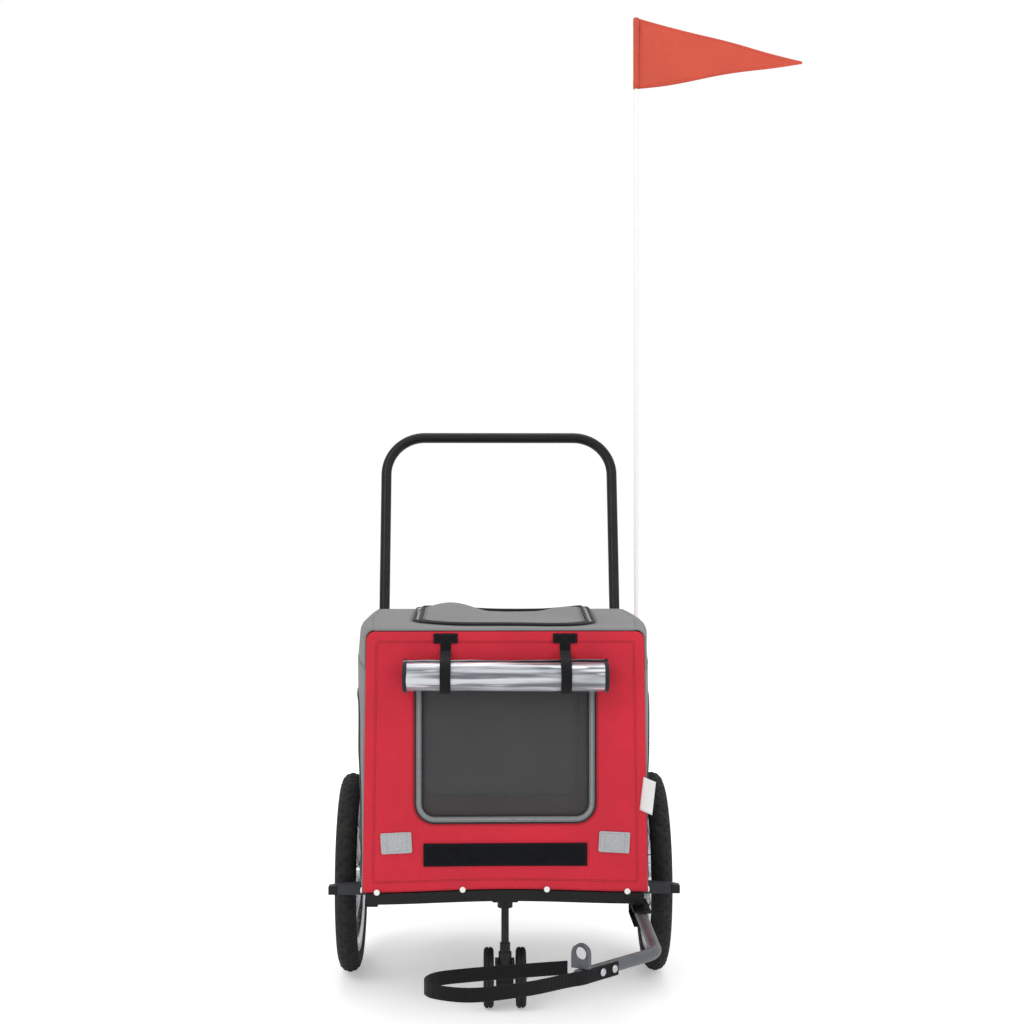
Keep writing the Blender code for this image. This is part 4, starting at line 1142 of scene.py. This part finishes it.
def floor_mat():
    """A quilted pad with a piped edge."""
    low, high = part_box("floor_mat")
    centre, half = (low + high) / 2, (high - low) / 2
    pitch = 0.052 * math.sqrt(2)
    inset = 0.002

    def pad(x, y):
        edge = min(half.x - abs(x - centre.x), half.y - abs(y - centre.y))
        quilt = min(abs(math.sin(math.pi * (x + y) / pitch)), abs(math.sin(math.pi * (x - y) / pitch))) ** 0.5
        height = low.z + 0.0006 + (0.0055 + 0.0042 * quilt) * ease(edge / 0.012) ** 0.5
        return Vector((x, y, height + 0.0004 * ripple(30 * x, 30 * y, 1)))

    rows = [[pad(x, y) for x in spread(low.x, high.x, 90)] for y in spread(low.y, high.y, 120)]
    piece("floor_mat_pad", Shape().grid(rows), "mat_grey", "chassis",
          stands_for=["floor_mat"], thickness=0.0008)
    edge = rounded_loop((half.x - inset,) * 2, low.y + inset, high.y - inset, (0.004, 0.004), 30, 5)
    path = [Vector((p.x, p.y, low.z + 0.0026)) for p in resample(edge, 0.004, closed=True)]
    cord = Shape().pipe(path + path[:1], 0.0024, 10)
    piece("floor_mat_piping", cord, "mat_grey", "chassis", "binding_black")


# Wheels.

TREAD_BLOCKS = 56
SPOKES = 20


def tyre_shape(centre):
    """Tyre casing with moulded side-wall rings, and rows of tread blocks."""
    crest, bed, half = 0.1508, 0.1186, 0.0152
    middle, tall = (crest + bed) / 2, (crest - bed) / 2
    profile = []
    for i in range(36):
        t = 2 * math.pi * i / 36
        ring = 0.0005 * hill(math.cos(t) - 0.15, 0.10) + 0.0004 * hill(math.cos(t) + 0.45, 0.08)
        reach = 1.0 + 0.06 * math.sin(2 * t) ** 2
        profile.append((middle + tall * math.cos(t), (half * reach + ring * 2) * math.sin(t)))
    shape = Shape().lathe(centre, X_AXIS, profile, 112)
    levels = ((0, 1.0), (0.0009, 0.95), (0.0013, 0.78))
    rows = [(0.0, (0.0052, 0.0064), 0.0)]
    for side in (1, -1):
        rows += [(0.0078 * side, (0.0050, 0.0050), 0.5), (0.0124 * side, (0.0064, 0.0030), 0.0)]
    for offset, size, phase in rows:
        tilt = math.asin(offset / half)
        reach = middle + tall * math.cos(tilt) - 0.0004
        for k in range(TREAD_BLOCKS):
            turn = 2 * math.pi * (k + phase) / TREAD_BLOCKS
            out, along = radial(turn), radial(turn + math.pi / 2)
            normal = out * math.cos(tilt) + X_AXIS * math.sin(tilt)
            across = along.cross(normal)
            spot = centre + out * reach + X_AXIS * offset
            shape.block(lambda u, w, h: spot + normal * h + along * u + across * w, size, levels)
    return shape


def rim_shape(centre):
    """Box-section rim with rolled edges, and a two-flange hub."""
    rim = [
        (0.1042, 0.0085), (0.1050, 0.0100), (0.1110, 0.0130), (0.1195, 0.0134), (0.1210, 0.0128),
        (0.1208, 0.0118), (0.1175, 0.0110),
    ]
    hub = [
        (0.0064, 0.0198), (0.0105, 0.0198), (0.0120, 0.0190), (0.0205, 0.0182), (0.0212, 0.0172),
        (0.0205, 0.0162), (0.0130, 0.0152), (0.0112, 0.0120),
    ]
    shape = Shape().lathe(centre, X_AXIS, mirrored(rim, [(0.1165, 0.0)]), 128)
    return shape.lathe(centre, X_AXIS, mirrored(hub, [(0.0108, 0.0)]), 48)


def spoke_shape(centre):
    """Spokes crossing in pairs between the hub flanges and nipples in the rim."""
    shape = Shape()
    for k in range(SPOKES):
        side = 1 if k % 2 else -1
        lead = 1 if (k // 2) % 2 else -1
        turn = 2 * math.pi * (k + 0.5) / SPOKES
        start = centre + X_AXIS * side * 0.0172 + radial(turn + lead * math.radians(62)) * 0.0186
        end = centre + X_AXIS * side * 0.0012 + radial(turn) * 0.1048
        shape.pipe([start, end], 0.0010, 8)
        way = (start - end).normalized()
        shape.pipe([end, end + way * 0.0035, end + way * 0.0110], 0.0021, 8, (1.0, 1.0, 0.75))
    return shape


def valve_shape(foot):
    """A tyre valve with its cap, pointing up from a place on the rim."""
    shape = Shape().pipe([foot + Z_AXIS * h for h in (0, 0.006, 0.022)], 0.0031, 14, (1.25, 1.0, 0.85))
    return shape.pipe([foot + Z_AXIS * h for h in (0.0215, 0.0300, 0.0310)], 0.0034, 10, (1.0, 1.0, 0.6))


def wheels():
    for name in SIDES:
        centre = JOINTS["wheel_" + name + "_spin"]
        body = "wheel_" + name
        tyre, rim = tyre_shape(centre), rim_shape(centre)
        piece("tyre_casing_" + name, tyre, "tyre_black", body, stands_for=["tyre_" + name], sharp=35)
        piece("rim_and_hub_" + name, rim, "rim_silver", body, stands_for=["wheel_rim_" + name], sharp=40)
        piece("spokes_" + name, spoke_shape(centre), "rim_silver", body, "bare_steel")
        piece("valve_" + name, valve_shape(centre - Z_AXIS * 0.1045), "tyre_black", body, "plastic_black")


# Caster.


def caster_wheels():
    """Solid twin wheels with a grooved tread and a ribbed hub."""
    radius = JOINTS["caster_wheel_left_spin"].z - GROUND - 0.0002
    half = 0.0074
    tread = [
        (0.0300, half - 0.0012), (0.0330, half), (0.0385, half - 0.0002), (0.0415, half - 0.0018),
        (radius - 0.0004, 0.0034), (radius, 0.0018), (radius - 0.0002, 0.0009), (radius - 0.0016, 0.0005),
    ]
    disc = [
        (0.0034, half), (0.0085, half), (0.0095, half - 0.0012), (0.0110, 0.0030), (0.0250, 0.0026),
        (0.0285, half - 0.0016), (0.0302, half - 0.0010),
    ]
    ribs = 6
    wide = X_AXIS * (half - 0.0016)
    for name in SIDES:
        centre = JOINTS["caster_wheel_" + name + "_spin"]
        body = "caster_wheel_" + name
        tyre = Shape().lathe(centre, X_AXIS, mirrored(tread), 72)
        piece("caster_tyre_" + name, tyre, "caster_tread", body,
              stands_for=["caster_wheel_" + name], sharp=30)
        hub = Shape().lathe(centre, X_AXIS, mirrored(disc), 48)
        for k in range(ribs):
            turn = 2 * math.pi * k / ribs
            over = radial(turn + math.pi / 2) * 0.0011
            spots = [centre + radial(turn) * reach for reach in (0.0090, 0.0290)]
            hub.solid([[c + over + wide, c - over + wide, c - over - wide, c + over - wide] for c in spots])
        piece("caster_hub_" + name, hub, "plastic_black", body, sharp=30)


# Bars.

BAR_RADIUS = 0.0092
HANDLE_LEAN = math.radians(15)
HANDLE_BEND = 0.069
TOW_RADIUS = 0.008
TOW_BEND = (0.1910, -0.478)
TOW_END = (0.0834, -0.584)


def push_handle():
    """The bent handle tube and the plugs in its ends."""
    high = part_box("handle_bar")[1]
    pivot = JOINTS["handle_fold"]
    way = Vector((0, math.sin(HANDLE_LEAN), math.cos(HANDLE_LEAN)))
    top = pivot + way * ((high.z - BAR_RADIUS - pivot.z) / way.z)
    foot = pivot - way * 0.014
    wide = X_AXIS * (high.x - BAR_RADIUS)
    path = filleted([foot - wide, top - wide, top + wide, foot + wide], HANDLE_BEND, 18)
    tube = Shape().pipe(path, BAR_RADIUS, 32)
    piece("handle_tube", tube, "frame_black", "push_handle", stands_for=["handle_bar"])
    plugs = Shape()
    steps = ((0.0, 1.0), (0.0015, 1.0), (0.0030, 0.86), (0.0036, 0.4))
    for side in SIDES.values():
        end = foot + wide * side
        plugs.pipe([end - way * d for d, r in steps], BAR_RADIUS * 1.03, 24, [r for d, r in steps])
    piece("handle_end_plugs", plugs, "plastic_black", "push_handle")


def tow_bar():
    pivot = JOINTS["tow_bar_swing"]
    path = filleted([pivot + Y_AXIS * 0.016, (*TOW_BEND, pivot.z), (*TOW_END, pivot.z)], 0.05, 16)
    tube = Shape().pipe(path, TOW_RADIUS, 32)
    piece("tow_tube", tube, "tube_grey", "tow_bar", stands_for=["tow_bar"], sharp=40)


def safety_strap():
    """The webbing loop bolted to the tow bar's end."""
    low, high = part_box("safety_strap")
    middle = (low.z + high.z) / 2
    end = Vector((*TOW_END, middle))
    run = (end - Vector((*TOW_BEND, middle))).normalized()
    strap_end = end - run.cross(Z_AXIS) * (TOW_RADIUS + 0.0013)
    loop = [
        (0.0703, -0.6020), (0.0200, -0.6370), (-0.0450, -0.6620), (-0.0920, -0.6450), (-0.1020, -0.6170),
        (-0.0870, -0.5910), (-0.0450, -0.5740), (0.0050, -0.5600), (0.0727, -0.5430),
    ]
    curve = smooth_path([strap_end - run * 0.020, strap_end] + [Vector((x, y, middle)) for x, y in loop], 10)
    path = resample([strap_end - run * 0.064] + curve, 0.0025)
    strap = Shape().ribbon(path, Z_AXIS, (high.z - low.z) / 2, 0.0021)
    piece("safety_strap_webbing", strap, "webbing_black", "tow_bar", stands_for=["safety_strap"])


# Flag.


def safety_flag():
    """The pennant, the sleeve that holds it on the pole, and its hems."""
    low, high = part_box("flag")
    pole_low, pole_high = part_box("flag_pole")
    pole = (pole_low + pole_high) / 2
    tip_top, tip_bottom = high.z - 0.0725, high.z - 0.0765

    def on_flag(x, z, height):
        share = clamp((x - low.x) / (high.x - low.x))
        wave = 0.0055 * math.sin(7.5 * share + 1.2 * (z - low.z) / 0.12) * share**0.7
        return Vector((x, pole.y + wave + 0.0016 * ripple(12 * x, 9 * z, 6) - height, z))

    rows = []
    for share in spread(0, 1, 60):
        x = mix(low.x, high.x, share)
        top = mix(high.z, tip_top, share) - 0.0015 * math.sin(math.pi * share)
        bottom = mix(low.z, tip_bottom, share) - 0.0022 * math.sin(2.6 * math.pi * share) * (1 - share)
        rows.append([on_flag(x, z, 0) for z in spread(bottom, top, 24)])
    piece("flag_cloth", Shape().grid(rows), "flag_orange", "flag_pole", stands_for=["flag"], thickness=0.0005)
    radius = (pole_high.x - pole_low.x) / 2 + 0.0010
    rings = []
    for z in spread(low.z, high.z, 12):
        size = radius + 0.0003 * ripple(80 * z, 1, 2)
        rings.append(circle(Vector((pole.x, pole.y, z)), X_AXIS, Y_AXIS, size, 20))
    sleeve = Shape().grid(rings, loop_columns=True)
    piece("flag_sleeve", sleeve, "flag_orange", "flag_pole", thickness=0.0006)
    left, hem = low.x + 0.006, 0.005
    bottom, top = (left, low.z + hem), (left, high.z - hem)
    upper = (high.x - 0.03, mix(high.z, tip_top, 0.9) - hem)
    lower = (high.x - 0.04, mix(low.z, tip_bottom, 0.86) + hem)
    seam = Shape()
    for line in ((bottom, top), (top, upper), (bottom, lower)):
        seam.stitches(line, on_flag, lift=0.0005)
    piece("flag_stitching", seam, "flag_orange", "flag_pole")


# Stage.


def stage():
    """Pale floor, soft light all round, a broad key light and the camera."""
    scene = bpy.context.scene
    reach = 12
    corners = [(x * reach, y * reach, GROUND) for x, y in ((-1, -1), (1, -1), (1, 1), (-1, 1))]
    mesh = bpy.data.meshes.new("floor")
    mesh.from_pydata(corners, [], [(0, 1, 2, 3)])
    paint = Paint("floor", Roughness=0.7, Emission_Color=(1, 1, 1, 1))
    paint.set("Base Color", paint.blend(paint.noise(0.8), tint(246, 246, 246), tint(250, 250, 250)))
    seen = paint.tree.nodes.new("ShaderNodeLightPath").outputs["Is Camera Ray"]
    paint.set("Emission Strength", paint.calculate("MULTIPLY", seen, FLOOR_GLOW))
    mesh.materials.append(paint.material)
    ground = bpy.data.objects.new("floor", mesh)
    scene.collection.objects.link(ground)
    world = bpy.data.worlds.new("studio")
    world.use_nodes = True
    nodes = world.node_tree.nodes
    strength = nodes.new("ShaderNodeMapRange")
    strength.inputs["To Min"].default_value = SKY_LIGHT
    nodes["Background"].inputs["Color"].default_value = (1.0, 1.0, 1.0, 1.0)
    light_path = nodes.new("ShaderNodeLightPath")
    world.node_tree.links.new(light_path.outputs["Is Camera Ray"], strength.inputs["Value"])
    world.node_tree.links.new(strength.outputs["Result"], nodes["Background"].inputs["Strength"])
    scene.world = world
    lights = (
        ("key", (-2.2, -3.2, 3.4), 2.4, 54),
        ("fill", (2.8, -2.4, 1.8), 2.6, 20),
        ("top", (0.2, 0.8, 4.0), 3.0, 36),
    )
    for name, place, size, power in lights:
        data = bpy.data.lights.new(name, "AREA")
        data.size = size
        data.energy = power
        light = bpy.data.objects.new(name, data)
        light.location = place
        light.rotation_euler = (Vector((0, 0, 0.4)) - Vector(place)).to_track_quat("-Z", "Y").to_euler()
        scene.collection.objects.link(light)
    data = bpy.data.cameras.new("camera")
    data.sensor_width = 36
    data.lens = CAMERA_LENS
    camera = bpy.data.objects.new("camera", data)
    camera.location = CAMERA_PLACE
    camera.rotation_euler = (math.radians(90), 0, CAMERA_YAW)
    scene.collection.objects.link(camera)
    scene.camera = camera
    scene.view_settings.view_transform = "Standard"


def build():
    front_wall()
    front_window()
    rolled_cover()
    tie_straps()
    fastener_strip()
    reflectors()
    snaps()
    label()
    rear_wall()
    side_walls()
    roof()
    floor_mat()
    wheels()
    caster_wheels()
    push_handle()
    tow_bar()
    safety_strap()
    safety_flag()
    dress_frame()
    stage()


build()
